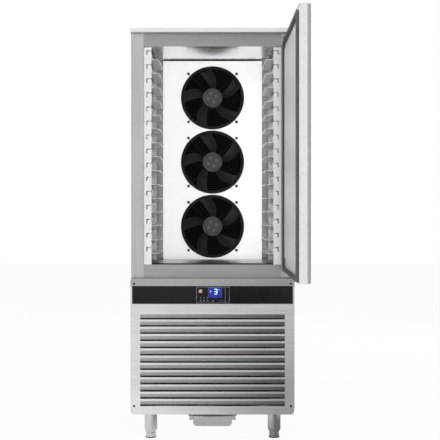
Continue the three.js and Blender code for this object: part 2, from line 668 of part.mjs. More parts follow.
// finned block with end plates that reach the rear liner, and return bends on one side
function evaporatorCoil() {
  const half = panelSide - SHEET - COIL_SIDE_GAP;
  const z0 = floorZ + COIL_FLOOR_GAP;
  const z1 = ceilingZ - COIL_TOP_GAP;
  const y1 = linerBackY - COIL_REAR_GAP;
  const y0 = y1 - COIL_DEPTH;
  const fins = box(-half, half, y0, y1, z0, z1);
  const end = box(half - 1, half + COIL_END_PLATE, y0 - COIL_PLATE_LIP, linerBackY - GAP,
    z0 - COIL_PLATE_REACH, z1 + COIL_PLATE_REACH);
  const pitch = (z1 - z0) / COIL_BENDS;
  const bends = Array.from({ length: COIL_BENDS }, (_, index) =>
    rod('y', COIL_BEND_RADIUS, y0 + COIL_BEND_INSET, y1 - COIL_BEND_INSET,
      [half + COIL_END_PLATE, z0 + (index + 0.5) * pitch], 8));
  return joined(fins, end, mirrored(end), ...bends);
}

add('fan_panel', LINER, fanPanel());
fanPlaces.forEach((z, index) => {
  add(`fan_guard_${fanNames[index]}`, BLACK_WIRE, fanGuard().translate([0, 0, z]));
  add(`fan_motor_${fanNames[index]}`, MOTOR_GREY,
    motor(FAN_MOTOR_RADIUS, FAN_MOTOR_DEPTH, SHAFT_LENGTH).translate([0, fanMotorY, z]));
  add(`fan_impeller_${fanNames[index]}`, BLACK_PLASTIC,
    impeller(fanRadius, FAN_HUB_RADIUS, FAN_HUB_DEPTH, FAN_BLADE_DEPTH, FAN_BLADES)
      .translate([0, fanHubY, z]));
});
add('evaporator_coil', FIN, evaporatorCoil());

// ---------- door, drawn shut and carried by the turned group at the hinge pins ----------

const local = (shape) => shape.translate([-pinX, -pinY, 0]);

function pinHoles(radius, reach) {
  return joined(
    rod('z', radius, doorBottom - 1, doorBottom + reach, [pinX, pinY], 16),
    rod('z', radius, doorTop - reach, doorTop + 1, [pinX, pinY], 16),
  );
}

function handleSpace(gap) {
  return box(-doorSide - 1, -doorSide + HANDLE_WIDTH + gap, doorOuterY - 1,
    doorOuterY + HANDLE_DEPTH + gap, doorBottom - 1, doorTop + 1);
}

// outer pan: face and four returned edges
function doorSkin() {
  const inner = SHEET;
  const pan = cut(
    box(-doorSide, doorSide, doorOuterY, doorInnerY, doorBottom, doorTop),
    box(-doorSide + inner, doorSide - inner, doorOuterY + inner, doorInnerY + 1,
      doorBottom + inner, doorTop - inner),
  );
  const seat = cut(
    box(-doorSide, -doorSide + HANDLE_WIDTH + GAP + SHEET, doorOuterY,
      doorOuterY + HANDLE_DEPTH + GAP + SHEET, doorBottom, doorTop),
    handleSpace(GAP),
  );
  return cut(joined(cut(pan, handleSpace(GAP)), seat), pinHoles(PIN_RADIUS + GAP, PIN_LENGTH));
}

// block over the door's width and height, less an inset all round
function doorSlab(inset, y0, y1) {
  return box(-doorSide + inset, doorSide - inset, y0, y1, doorBottom + inset, doorTop - inset);
}

const doorLinerY = doorInnerY - DOOR_LINER_RECESS;
const doorFieldY = doorLinerY + DOOR_FIELD_RISE;

function doorCore() {
  const inset = SHEET + GAP;
  const foam = joined(doorSlab(inset, doorOuterY + inset, doorLinerY - inset),
    doorSlab(DOOR_FIELD_INSET + inset, doorLinerY - inset - 1, doorFieldY - inset));
  return cut(foam, handleSpace(2 * GAP + SHEET), pinHoles(PIN_RADIUS + 2 * GAP, PIN_LENGTH + PIN_POCKET));
}

// inner sheet with a raised field, closing the pan
function doorLiner() {
  return cut(
    joined(doorSlab(SHEET + GAP, doorLinerY - SHEET, doorLinerY),
      doorSlab(DOOR_FIELD_INSET, doorLinerY - SHEET, doorFieldY)),
    doorSlab(DOOR_FIELD_INSET + SHEET, doorLinerY - SHEET - 1, doorFieldY - SHEET),
  );
}

function doorGasket() {
  const back = doorLinerY + GAP;
  const outerSide = doorSide - GASKET_INSET;
  const z0 = doorBottom + GASKET_BOTTOM_INSET;
  const z1 = doorTop - GASKET_INSET;
  return cut(
    box(-outerSide, outerSide, back, -SEAL_GAP, z0, z1),
    box(-outerSide + GASKET_WIDTH, outerSide - GASKET_WIDTH, back - 1, 1,
      z0 + GASKET_WIDTH, z1 - GASKET_WIDTH),
  );
}

// full-height grip profile at the free edge, with a finger groove in its side
function doorHandle() {
  const x0 = -doorSide;
  const bar = box(x0, x0 + HANDLE_WIDTH, doorOuterY, doorOuterY + HANDLE_DEPTH, doorBottom, doorTop);
  const grooveY = doorOuterY + HANDLE_FRONT_WALL;
  const groove = box(x0 - 1, x0 + HANDLE_GROOVE_REACH, grooveY, grooveY + HANDLE_GROOVE_WIDTH,
    doorBottom - 1, doorTop + 1);
  return cut(bar, groove);
}

// angle bracket on the frame with the pin that the door turns on; side is +1 above and -1 below
function hinge(side) {
  const doorEnd = side > 0 ? doorTop : doorBottom;
  const along = (from, to) => [doorEnd + side * from, doorEnd + side * to].sort((a, b) => a - b);
  const plateFrom = GAP + HINGE_WASHER;
  const x0 = pinX + HINGE_NOSE - HINGE_WIDTH;
  const x1 = pinX + HINGE_NOSE;
  const plate = box(x0, x1, pinY - HINGE_NOSE, -GAP, ...along(plateFrom, plateFrom + HINGE_PLATE));
  const leaf = box(x0, x1, -GAP - HINGE_LEAF_THICKNESS, -GAP,
    ...along(plateFrom, plateFrom + leafHeight));
  const washer = rod('z', HINGE_WASHER_RADIUS, ...along(GAP, plateFrom + 1), [pinX, pinY], 16);
  const pin = rod('z', PIN_RADIUS, ...along(-PIN_LENGTH, plateFrom + 1), [pinX, pinY], 16);
  return joined(plate, leaf, washer, pin);
}

add('hinge_top', STEEL, hinge(1));
add('hinge_bottom', STEEL, hinge(-1));
add('door_skin', STEEL_FRONT, local(doorSkin()), door);
add('door_core', FOAM, local(doorCore()), door);
add('door_liner', LINER, local(doorLiner()), door);
add('door_gasket', RUBBER, local(doorGasket()), door);
add('door_handle', ZINC, local(doorHandle()), door);

// ---------- louvred front panel and controls ----------

function frontPanel() {
  const outline = roundedOutline(-bodySide, bodySide, frontPanelBottom, frontPanelTop, PANEL_CORNER);
  const inner = roundedOutline(-bodySide + PANEL_SHEET, bodySide - PANEL_SHEET,
    frontPanelBottom + PANEL_SHEET, frontPanelTop - PANEL_SHEET, PANEL_CORNER - PANEL_SHEET);
  const pan = cut(
    frontPlate(outline, frontPanelY, -GAP),
    frontPlate(inner, frontPanelY + PANEL_SHEET, 1),
  );
  const half = bodySide - LOUVRE_SIDE;
  const tops = downTo(frontPanelBottom + LOUVRE_BOTTOM_LAND + LOUVRE_SLOT,
    frontPanelTop - LOUVRE_TOP_DROP, LOUVRE_PITCH);
  const slots = tops.map((top) =>
    box(-half, half, frontPanelY - 1, frontPanelY + PANEL_SHEET + 1, top - LOUVRE_SLOT, top));
  const blades = tops.map((top) => {
    const foot = top - LOUVRE_SLOT + LOUVRE_BLADE_GAP;
    return acrossBar([
      [frontPanelY, top + PANEL_SHEET], [frontPanelY, top - PANEL_SHEET],
      [frontPanelY + LOUVRE_DEPTH, foot], [frontPanelY + LOUVRE_DEPTH, foot + PANEL_SHEET],
      [frontPanelY + PANEL_SHEET, top + PANEL_SHEET],
    ], -half, half);
  });
  return joined(cut(pan, ...slots), ...blades);
}

// spaces in the fascia: [centre x, width, height, top of the space below the fascia's top edge]
const controls = {
  display_window: [WINDOW_X, WINDOW_WIDTH, WINDOW_HEIGHT, WINDOW_DROP],
  power_key: [KEY_X, KEY_SIZE, KEY_SIZE, KEY_DROP],
  key_left: [SMALL_KEY_X, SMALL_KEY_SIZE, SMALL_KEY_SIZE, SMALL_KEY_DROP],
  key_middle: [SMALL_KEY_X + SMALL_KEY_PITCH, SMALL_KEY_SIZE, SMALL_KEY_SIZE, SMALL_KEY_DROP],
  key_right: [SMALL_KEY_X + 2 * SMALL_KEY_PITCH, SMALL_KEY_SIZE, SMALL_KEY_SIZE, SMALL_KEY_DROP],
};

function controlSpace([x, width, height, drop], inset, y0, y1) {
  const top = fasciaTop - drop;
  return box(x - width / 2 + inset, x + width / 2 - inset, y0, y1, top - height + inset, top - inset);
}

function fascia() {
  const half = bodySide - FASCIA_SIDE;
  const outline = roundedOutline(-half, half, fasciaTop - FASCIA_HEIGHT, fasciaTop, FASCIA_CORNER);
  const spaces = Object.values(controls).map((place) =>
    controlSpace(place, 0, fasciaFrontY - 1, fasciaBackY + 1));
  return cut(frontPlate(outline, fasciaFrontY, fasciaBackY), ...spaces);
}

add('front_panel', STEEL_FRONT, frontPanel());
add('control_fascia', GLASS_BLACK, fascia());
Object.entries(controls).forEach(([name, place]) => {
  const isWindow = name === 'display_window';
  const front = fasciaFrontY - (isWindow ? WINDOW_PROUD : KEY_PROUD);
  const back = fasciaBackY - (isWindow ? 0 : KEY_TRAVEL);
  const look = isWindow ? DISPLAY : name === 'power_key' ? KEY : SMALL_KEY;
  add(name, look, controlSpace(place, GAP, front, back));
});

// ---------- base, legs and drip tray ----------

function baseFrame() {
  const y0 = frontPanelY + BASE_SKIRT_SETBACK;
  const half = bodySide - BASE_SKIRT_INSET;
  return joined(
    box(-innerSide, innerSide, SHEET, rearSheetY - GAP, BASE_HEIGHT, baseTop),
    box(-half, half, y0, 2 * SHEET, BASE_HEIGHT, baseTop),
    box(-half, half, y0, y0 + SHEET, BASE_HEIGHT, frontPanelBottom - GAP),
  );
}

function legSleeve(x, y) {
  const top = BASE_HEIGHT - GAP;
  const bottom = top - LEG_LENGTH;
  return turned([
    [LEG_BORE_RADIUS, bottom], [LEG_NECK_RADIUS, bottom], [LEG_RADIUS, bottom + LEG_TAPER],
    [LEG_RADIUS, top], [0, top], [0, top - LEG_BORE_TOP_WALL],
    [LEG_BORE_RADIUS, top - LEG_BORE_TOP_WALL], [LEG_BORE_RADIUS, bottom],
  ], [x, y]);
}

// foot screwed into the sleeve, standing on the floor
function legFoot(x, y) {
  const shoulder = BASE_HEIGHT - GAP - LEG_LENGTH - GAP;
  const stemTop = BASE_HEIGHT - GAP - LEG_BORE_TOP_WALL - FOOT_STEM_TOP_GAP;
  const shank = FOOT_RADIUS - FOOT_RING_INSET;
  return turned([
    [0, 0], [shank, 0], [FOOT_RADIUS, FOOT_RING_INSET], [FOOT_RADIUS, FOOT_RING],
    [shank, FOOT_RING + FOOT_RING_INSET], [shank, shoulder],
    [LEG_BORE_RADIUS - GAP, shoulder], [LEG_BORE_RADIUS - GAP, stemTop], [0, stemTop],
  ], [x, y]);
}

// plate under the base with two hooked rails
function trayCarrier() {
  const y0 = CARRIER_SETBACK;
  const y1 = y0 + TRAY_DEPTH + CARRIER_REAR_REACH;
  const half = railOuter + CARRIER_EDGE;
  const plate = box(-half, half, y0, y1, carrierBottom, BASE_HEIGHT - GAP);
  const web = box(railOuter - RAIL_SHEET, railOuter, y0, y1, railBottom, carrierBottom + 1);
  const lip = box(TRAY_HALF_WIDTH + RAIL_TRAY_GAP, railOuter, y0, y1, railBottom, railBottom + RAIL_SHEET);
  const rail = joined(web, lip);
  return joined(plate, rail, mirrored(rail));
}

// open tray with rounded lower corners, rims that ride on the rails, and a pull lip in front
function dripTray() {
  const y0 = CARRIER_SETBACK;
  const trough = (inset, from, to, top) => {
    const outline = new THREE.Shape();
    const half = TRAY_HALF_WIDTH - inset;
    const bottom = trayTop - TRAY_HEIGHT + inset;
    const radius = TRAY_CORNER - inset;
    outline.moveTo(half, top);
    outline.lineTo(-half, top);
    outline.absarc(-half + radius, bottom + radius, radius, Math.PI, 1.5 * Math.PI, false);
    outline.absarc(half - radius, bottom + radius, radius, 1.5 * Math.PI, 2 * Math.PI, false);
    return frontPlate(outline, from, to, 5);
  };
  const shell = trough(0, y0, y0 + TRAY_DEPTH, trayTop);
  const hollow = trough(TRAY_WALL, y0 + TRAY_WALL, y0 + TRAY_DEPTH - TRAY_WALL, trayTop + 1);
  const rimBottom = railBottom + RAIL_SHEET + GAP;
  const rim = box(TRAY_HALF_WIDTH - 1, TRAY_HALF_WIDTH + TRAY_RIM, y0, y0 + TRAY_DEPTH,
    rimBottom, rimBottom + RAIL_SHEET);
  const pull = box(-TRAY_HALF_WIDTH / 2, TRAY_HALF_WIDTH / 2, y0 - TRAY_PULL, y0 + 1,
    trayTop - TRAY_PULL_THICKNESS, trayTop);
  return joined(cut(shell, hollow), rim, mirrored(rim), pull);
}

add('base_frame', ZINC, baseFrame());
const legX = bodySide - LEG_SIDE_INSET;
const rearLegY = BODY_DEPTH - LEG_SETBACK;
[['front_left', -legX, LEG_SETBACK], ['front_right', legX, LEG_SETBACK],
  ['rear_left', -legX, rearLegY], ['rear_right', legX, rearLegY]].forEach(([place, x, y]) => {
  add(`leg_sleeve_${place}`, STEEL, legSleeve(x, y));
  add(`leg_foot_${place}`, STEEL, legFoot(x, y));
});
add('tray_carrier', RAIL_GREY, trayCarrier());
add('drip_tray', TRAY_PLASTIC, dripTray());

// ---------- refrigeration unit ----------

const condenserBottom = baseTop + GAP + CONDENSER_FOOT;
const condenserMiddle = condenserBottom + CONDENSER_HEIGHT / 2;
const condenserBackY = CONDENSER_SETBACK + CONDENSER_DEPTH;
const shroudY = condenserBackY + GAP;
const coolingFanY = shroudY + SHROUD_SHEET + COOLING_FAN_GAP;
const coolingMotorY = coolingFanY + COOLING_FAN_DEPTH + FAN_RUNNING_GAP;

// finned block with end plates that stand on the base
function condenserCoil() {
  const half = CONDENSER_WIDTH / 2;
  const fins = box(-half, half, CONDENSER_SETBACK, condenserBackY, condenserBottom,
    condenserBottom + CONDENSER_HEIGHT);
  const end = box(half - 1, half + COIL_END_PLATE, CONDENSER_SETBACK, condenserBackY, baseTop + GAP,
    condenserBottom + CONDENSER_HEIGHT);
  return joined(fins, end, mirrored(end));
}

function condenserShroud() {
  const half = CONDENSER_WIDTH / 2;
  const hole = COOLING_FAN_RADIUS + FAN_TIP_GAP;
  const y1 = shroudY + SHROUD_SHEET;
  const plate = box(-half, half, shroudY, y1, condenserBottom, condenserBottom + CONDENSER_HEIGHT);
  return cut(
    joined(plate, rod('y', hole + SHROUD_SHEET, shroudY, y1 + SHROUD_COLLAR, [0, condenserMiddle])),
    rod('y', hole, shroudY - 1, y1 + SHROUD_COLLAR + 1, [0, condenserMiddle]),
  );
}

// motor on a bridge bracket that is screwed to the shroud's plate
function condenserMotor() {
  const footX = COOLING_FAN_RADIUS + FAN_TIP_GAP + SHROUD_SHEET + BRACKET_REACH;
  const plateY = shroudY + SHROUD_SHEET + GAP;
  const z0 = condenserMiddle - BRACKET_WIDTH / 2;
  const z1 = condenserMiddle + BRACKET_WIDTH / 2;
  const backY = coolingMotorY + COOLING_MOTOR_DEPTH;
  const bridge = box(-footX, footX, backY - 1, backY + BRACKET_SHEET, z0, z1);
  const leg = box(footX - BRACKET_SHEET, footX, plateY, backY, z0, z1);
  const axis = [0, condenserMiddle];
  const shaft = rod('y', SHAFT_RADIUS, coolingMotorY - SHAFT_LENGTH, coolingMotorY + 1, axis, 12);
  const body = rod('y', COOLING_MOTOR_RADIUS, coolingMotorY, backY, axis);
  return joined(body, shaft, bridge, leg, mirrored(leg));
}

const compressorCrown = baseTop + GAP + COMPRESSOR_HEIGHT;
const compressorY = BODY_DEPTH - COMPRESSOR_REAR;

// welded hermetic shell on a plate with four rubber mounts
function compressor() {
  const shellBottom = baseTop + GAP + COMPRESSOR_FOOT_HEIGHT;
  const shoulder = compressorCrown - COMPRESSOR_RADIUS * 0.55;
  const dome = [0, 30, 60, 90].map((degrees) => {
    const angle = THREE.MathUtils.degToRad(degrees);
    return [COMPRESSOR_RADIUS * Math.cos(angle), shoulder + (compressorCrown - shoulder) * Math.sin(angle)];
  });
  dome[dome.length - 1][0] = 0;
  const shell = turned([[0, shellBottom], [COMPRESSOR_RADIUS * 0.8, shellBottom],
    [COMPRESSOR_RADIUS, shellBottom + COMPRESSOR_DISH], ...dome], [COMPRESSOR_X, compressorY]);
  const span = COMPRESSOR_FOOT_SPAN;
  const edge = span + COMPRESSOR_FOOT_RADIUS;
  const plate = box(COMPRESSOR_X - edge, COMPRESSOR_X + edge, compressorY - edge, compressorY + edge,
    shellBottom - COMPRESSOR_PLATE, shellBottom + 1);
  const mounts = [[-1, -1], [1, -1], [-1, 1], [1, 1]].map(([a, b]) => rod('z', COMPRESSOR_FOOT_RADIUS,
    baseTop + GAP, shellBottom, [COMPRESSOR_X + a * span, compressorY + b * span], 12));
  return joined(shell, plate, ...mounts);
}

function liquidReceiver() {
  const z0 = baseTop + GAP;
  const r = RECEIVER_RADIUS;
  const top = z0 + RECEIVER_HEIGHT;
  const rim = r + RECEIVER_FLANGE_REACH;
  return turned([[0, z0], [rim, z0], [rim, z0 + RECEIVER_FLANGE], [r, z0 + 2 * RECEIVER_FLANGE],
    [r, top - r * 0.5], [r * 0.7, top - r * 0.15], [0, top]], [RECEIVER_X, BODY_DEPTH - RECEIVER_REAR]);
}

// folded box, open towards the casing's side that it is screwed to
function electricalBox() {
  const x0 = -innerSide;
  const x1 = x0 + BOX_WIDTH;
  const y1 = BODY_DEPTH - BOX_REAR;
  const y0 = y1 - BOX_DEPTH;
  const z0 = baseTop + BOX_LIFT;
  const outline = roundedOutline(x0, x1, y0, y1, BOX_CORNER);
  const block = solid(extruded(outline, BOX_HEIGHT, 3).translate(0, 0, z0));
  return cut(block, box(x0 - 1, x1 - SHEET, y0 + SHEET, y1 - SHEET, z0 + SHEET, z0 + BOX_HEIGHT - SHEET));
}

// discharge pipe from the compressor's crown over to the condenser's end plate
function dischargePipe() {
  const endX = CONDENSER_WIDTH / 2 - PIPE_INSET;
  const endY = shroudY + SHROUD_SHEET + GAP;
  const endZ = condenserBottom + CONDENSER_HEIGHT - PIPE_INSET;
  const crown = compressorCrown + PIPE_RISE;
  const route = new THREE.CatmullRomCurve3([
    new THREE.Vector3(COMPRESSOR_X, compressorY, compressorCrown + GAP),
    new THREE.Vector3(COMPRESSOR_X, compressorY, crown),
    new THREE.Vector3(COMPRESSOR_X + PIPE_BEND, compressorY - 1.5 * PIPE_BEND, crown + PIPE_BEND),
    new THREE.Vector3(endX, endY + PIPE_RUN, endZ),
    new THREE.Vector3(endX, endY, endZ),
  ], false, 'catmullrom', 0.3);
  const section = new THREE.Shape().absarc(0, 0, PIPE_RADIUS, 0, 2 * Math.PI, false);
  const tube = new THREE.ExtrudeGeometry(section,
    { steps: PIPE_STEPS, extrudePath: route, bevelEnabled: false, curveSegments: 8 });
  const ends = box(-bodySide, bodySide, endY, BODY_DEPTH, compressorCrown + GAP, deckZ);
  return solid(tube).intersect(ends);
}

function rearGrille() {
  const z0 = baseTop + GAP;
  const plate = box(-innerSide, innerSide, rearSheetY, BODY_DEPTH, z0, deckZ - GAP);
  const slots = [];
  for (let row = 0; row < GRILLE_ROWS; row += 1) {
    const z = deckZ - GRILLE_MARGIN - row * GRILLE_PITCH;
    const column = box(GRILLE_LAND / 2, innerSide - GRILLE_MARGIN, rearSheetY - 1, BODY_DEPTH + 1,
      z - GRILLE_SLOT, z);
    slots.push(column, mirrored(column));
  }
  return cut(plate, ...slots);
}

add('condenser_coil', FIN, condenserCoil());
add('condenser_shroud', ZINC, condenserShroud());
add('condenser_motor', MOTOR_GREY, condenserMotor());
add('condenser_impeller', BLACK_PLASTIC,
  impeller(COOLING_FAN_RADIUS, COOLING_HUB_RADIUS, COOLING_FAN_DEPTH, COOLING_BLADE_DEPTH, COOLING_BLADES)
    .mirror([0, 1, 0]).translate([0, coolingFanY + COOLING_FAN_DEPTH, condenserMiddle]));
add('compressor', PAINTED, compressor());
add('liquid_receiver', PAINTED, liquidReceiver());
add('electrical_box', ZINC, electricalBox());
add('discharge_pipe', COPPER, dischargePipe());
add('rear_grille', STEEL, rearGrille());

export default chiller;
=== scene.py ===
"""Finished look of the reach-in blast chiller: pieces, finishes and studio around its frame."""

import json
import math

import bmesh
import bpy
from mathutils import Matrix, Vector


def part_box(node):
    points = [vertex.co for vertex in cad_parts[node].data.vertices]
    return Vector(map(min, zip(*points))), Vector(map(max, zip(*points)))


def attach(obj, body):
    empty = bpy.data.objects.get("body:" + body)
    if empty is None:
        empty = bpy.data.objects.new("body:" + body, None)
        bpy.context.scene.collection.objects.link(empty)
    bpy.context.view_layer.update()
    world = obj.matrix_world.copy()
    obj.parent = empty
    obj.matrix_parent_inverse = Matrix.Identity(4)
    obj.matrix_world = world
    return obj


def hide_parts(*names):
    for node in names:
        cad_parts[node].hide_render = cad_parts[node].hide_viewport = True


bl_info = {
    "name": "Blast Chiller",
    "version": (1, 0, 0),
    "blender": (4, 5, 0),
    "location": "View3D > Sidebar > Chiller",
    "description": "Builds the finished pieces, materials and studio of a reach-in blast chiller",
    "category": "Object",
}

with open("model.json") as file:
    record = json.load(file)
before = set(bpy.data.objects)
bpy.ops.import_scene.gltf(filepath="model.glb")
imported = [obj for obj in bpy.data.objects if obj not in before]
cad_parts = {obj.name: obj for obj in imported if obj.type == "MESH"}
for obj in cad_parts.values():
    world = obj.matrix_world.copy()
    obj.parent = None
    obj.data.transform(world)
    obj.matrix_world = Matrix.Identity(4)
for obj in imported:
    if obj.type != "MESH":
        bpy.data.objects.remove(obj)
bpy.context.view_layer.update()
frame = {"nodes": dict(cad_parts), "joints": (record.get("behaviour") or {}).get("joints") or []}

# ---------- places read from the frame ----------


def low(node):
    """Lowest corner of a CAD node."""
    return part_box(node)[0]


def high(node):
    """Highest corner of a CAD node."""
    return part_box(node)[1]


def middle(node):
    """Centre of a CAD node's box."""
    return (low(node) + high(node)) / 2


def front_middle(node):
    """Centre of the front face of a CAD node's box."""
    return Vector((middle(node).x, low(node).y, middle(node).z))


def half_width(node):
    return (high(node).x - low(node).x) / 2


FRAME_Y = low("casing_left").y
PANEL_Y = low("front_panel").y
FASCIA_Y = low("control_fascia").y
FAN_PANEL_Y = low("fan_panel").y
FAN_LEVELS = ("top", "middle", "bottom")
LEG_PLACES = ("front_left", "front_right", "rear_left", "rear_right")
KEYS = ("key_left", "key_middle", "key_right")
JOINTS = {joint["name"]: joint for joint in frame["joints"]}
DOOR_PIN = Vector(JOINTS["door_swing"]["pos_m"])

# photograph: its frame, and where the machine's centre line and the eye's level fall in it
PHOTO_PIXELS = 440
PHOTO_AXIS_PIXEL = (212.5, 207.0)
PHOTO_SCALE = 208.8  # pixels to a metre at the door frame's face
EYE_HEIGHT = 1.116
EYE_DISTANCE = 4.5  # from the door frame's face
SENSOR = 36.0

# studio: what metal mirrors behind the camera and in the floor, from left (0) to right (1)
STUDIO_TONES = (
    (0.0, 0.9), (0.1, 0.45), (0.2, 0.7), (0.3, 1.0), (0.47, 1.0), (0.56, 0.38), (0.76, 0.38),
    (0.89, 0.12), (1.0, 0.8),
)
FLOOR_TONES = (
    (0.0, 0.9), (0.15, 1.0), (0.3, 1.0), (0.5, 0.6), (0.68, 0.2), (0.85, 0.2), (1.0, 0.9),
)
DIFFUSE_SKY = 0.5
FLOOR_SHADE_DISTANCE = 0.95
FLOOR_HALF = 14.0
FLOOR_GLOW = 0.95  # share of the floor's look, as the camera sees it, that is plain white
LAMP_TARGET = Vector((0.0, 0.2, 1.05))
LAMPS = (  # name, place, size in metres, power in watts
    ("key", (-5.2, -8.0, 4.2), 3.0, 160.0),
    ("fill", (4.4, -8.4, 2.6), 3.0, 120.0),
    ("front", (0.0, -11.0, 1.15), 1.8, 800.0),
    ("rear", (1.8, 3.8, 2.6), 2.4, 60.0),
)
WHITE = (1.0, 1.0, 1.0, 1.0)

# chamber
SLOT_OVER_FAN_PANEL = 0.0066
CEILING_SETBACK = 0.008
RACK_COVER = 0.036  # how far the ceiling sheet reaches over a rack
LEDGE_TOP = 1.8340
LEDGE_PITCH = 0.0674
LEDGE_COUNT = 15
LEDGE_WIDTH = 0.047
LEDGE_SETBACK = 0.053
LEDGE_CORNER = 0.024

# fans
FAN_MOUTH = 0.1505
GUARD_INNER = 0.052
GUARD_ARM_START = 0.03
GUARD_RIM = 0.0034
GUARD_BOLT_OUTSET = 0.0162
GUARD_BOLT = 0.0072
PLATE_SCREW = 0.008
PLATE_SCREW_RADIUS = 0.023
BLADE_FACES = (14, 10)  # along the chord and out from the hub
BLADE_SWEEP = math.radians(18)
BLADE_CAMBER = 0.006
BLADE_WALL = 0.0028

# louvres of the front panel
LOUVRE_COUNT = 13
LOUVRE_PITCH = 0.0343
LOUVRE_SLOT = 0.0233
LOUVRE_GAP = 0.004
LOUVRE_DEPTH = 0.008
LOUVRE_BEND = 0.0015
LOUVRE_HALF = 0.3435
LOUVRE_TOP = high("front_panel").z - 0.171 + LOUVRE_PITCH - LOUVRE_SLOT
LOUVRE_FOOT = LOUVRE_TOP - LOUVRE_COUNT * LOUVRE_PITCH
PANEL_CORNER = 0.008
PANEL_SCREW_HALF = 0.3725
PANEL_SCREW_LEVELS = (0.7515, 0.1705)

# controls
PRINT_LEFT, PRINT_RIGHT, PRINT_DIVIDE = -0.0765, 0.0800, 0.0600
PRINT_DOTS = ((0.0024, 0.0030), (0.036, 0.0018), (0.0475, 0.0018))  # place and radius
PRINT_LINE = 0.0011
PRINT_PROUD = 0.0002
MARK_PROUD = 0.0003
FIGURE_WIDE, FIGURE_TALL, FIGURE_STROKE = 0.0125, 0.0115, 0.0036

# drip tray's rails
TRAY_RIM = 0.011
TRAY_PLAY = 0.001
CARRIER_EDGE = 0.005
RAIL_FOOT = 0.0043
RAIL_DROP = 0.014
SHADOW_STRIP_DROP = 0.0078

SHEET = 0.0012
SMOOTH_ANGLE = math.radians(30)
PATTERN_ANGLE = math.radians(50)
TO_FRONT = (math.radians(90), 0.0, 0.0)
WELD = 2e-5

# ---------- sizes and colours that a user would change ----------


def length_setting(text, default):
    return bpy.props.FloatProperty(
        name=text, default=default, min=0.0, unit="LENGTH", precision=4
    )


def colour_setting(text, default):
    return bpy.props.FloatVectorProperty(
        name=text, default=default, subtype="COLOR", size=3, min=0.0, max=1.0
    )


class ChillerSizes(bpy.types.PropertyGroup):
    """Sizes of the detail that the frame leaves open."""

    sheet_edge: length_setting("Rounding of cut sheet edges", 0.0004)
    fold_edge: length_setting("Rounding of folded and thick edges", 0.0012)
    guard_wire: length_setting("Radius of a fan guard's ring wire", 0.0013)
    guard_arm: length_setting("Radius of a fan guard's arm wire", 0.0013)
    ledge_edge: length_setting("Radius of a ledge's rolled edge", 0.0018)
    screw_head: length_setting("Radius of a panel screw's head", 0.0055)
    fin_pitch: length_setting("Distance between heat exchanger fins", 0.0042)
    fin_sheet: length_setting("Thickness of a heat exchanger fin", 0.0005)
    guard_rings: bpy.props.IntProperty(name="Rings in each fan guard", default=11, min=2, max=40)


class ChillerColours(bpy.types.PropertyGroup):
    """Main colours of the finishes."""

    side_steel: colour_setting("Cabinet sheets and door frame", (0.52, 0.525, 0.53))
    front_steel: colour_setting("Louvred panel, base and cover", (0.86, 0.85, 0.85))
    liner_steel: colour_setting("Chamber liner", (0.60, 0.605, 0.61))
    rack_steel: colour_setting("Uprights and runners", (0.60, 0.605, 0.61))
    panel_white: colour_setting("Panel that carries the fans", (0.95, 0.95, 0.95))
    fan_black: colour_setting("Guards and impellers", (0.008, 0.008, 0.009))
    fascia_black: colour_setting("Glossy control band", (0.004, 0.004, 0.0045))
    display_blue: colour_setting("Lit background of the display", (0.004, 0.012, 0.16))
    gasket_grey: colour_setting("Door gasket", (0.07, 0.073, 0.076))
    tray_grey: colour_setting("Drip tray", (0.27, 0.275, 0.28))


# ---------- node trees ----------


def new_tree(name, family, inputs, outputs):
    """Node group with its sockets, each (name, type) with a default if it needs one."""
    tree = bpy.data.node_groups.new(name, f"{family}NodeTree")
    for side, sockets in (("INPUT", inputs), ("OUTPUT", outputs)):
        for socket_name, kind, *default in sockets:
            socket = tree.interface.new_socket(
                socket_name, in_out=side, socket_type=f"NodeSocket{kind}"
            )
            if default:
                socket.default_value = default[0]
    return tree, tree.nodes.new("NodeGroupInput").outputs, tree.nodes.new("NodeGroupOutput").inputs


def feed(tree, inputs, given):
    """Sets inputs to values, or links them to sockets."""
    for name, value in given.items():
        if isinstance(value, bpy.types.NodeSocket):
            tree.links.new(value, inputs[name])
        else:
            inputs[name].default_value = value


def add(tree, kind, given=None, **settings):
    """Outputs of a new node with these settings and inputs."""
    node = tree.nodes.new(kind)
    for name, setting in settings.items():
        setattr(node, name, setting)
    feed(tree, node.inputs, given or {})
    return node.outputs


def calc(tree, operation, *values, **settings):
    return add(tree, "ShaderNodeMath", dict(enumerate(values)), operation=operation, **settings)[0]


def vector_calc(tree, operation, *values):
    return add(tree, "ShaderNodeVectorMath", dict(enumerate(values)), operation=operation)


def combined(tree, **parts):
    return add(tree, "ShaderNodeCombineXYZ", parts)[0]


def ranged(tree, value, to_low, to_high, from_low=0.3, from_high=0.7):
    """A value, by default noise, spread from its span to another; the ends may be sockets."""
    ends = {"From Min": from_low, "From Max": from_high, "To Min": to_low, "To Max": to_high}
    return add(tree, "ShaderNodeMapRange", {"Value": value, **ends})[0]


def noise(tree, vector, scale, detail=2.0, distortion=0.0):
    given = {"Vector": vector, "Scale": scale, "Detail": detail, "Distortion": distortion}
    return add(tree, "ShaderNodeTexNoise", given)["Fac"]


def mixed(tree, mask, first, second):
    """Value between first and second; each may be a number or a socket."""
    return add(tree, "ShaderNodeMix", {0: mask, 2: first, 3: second})[0]


def blended(tree, mask, first, second):
    """Colour between first and second by a mask; first may be a socket."""
    start = first if isinstance(first, bpy.types.NodeSocket) else (*first, 1.0)
    return add(tree, "ShaderNodeMix", {0: mask, 6: start, 7: (*second, 1.0)}, data_type="RGBA")[2]


def bumped(tree, height, strength, distance):
    given = {"Height": height, "Strength": strength, "Distance": distance}
    return add(tree, "ShaderNodeBump", given)[0]


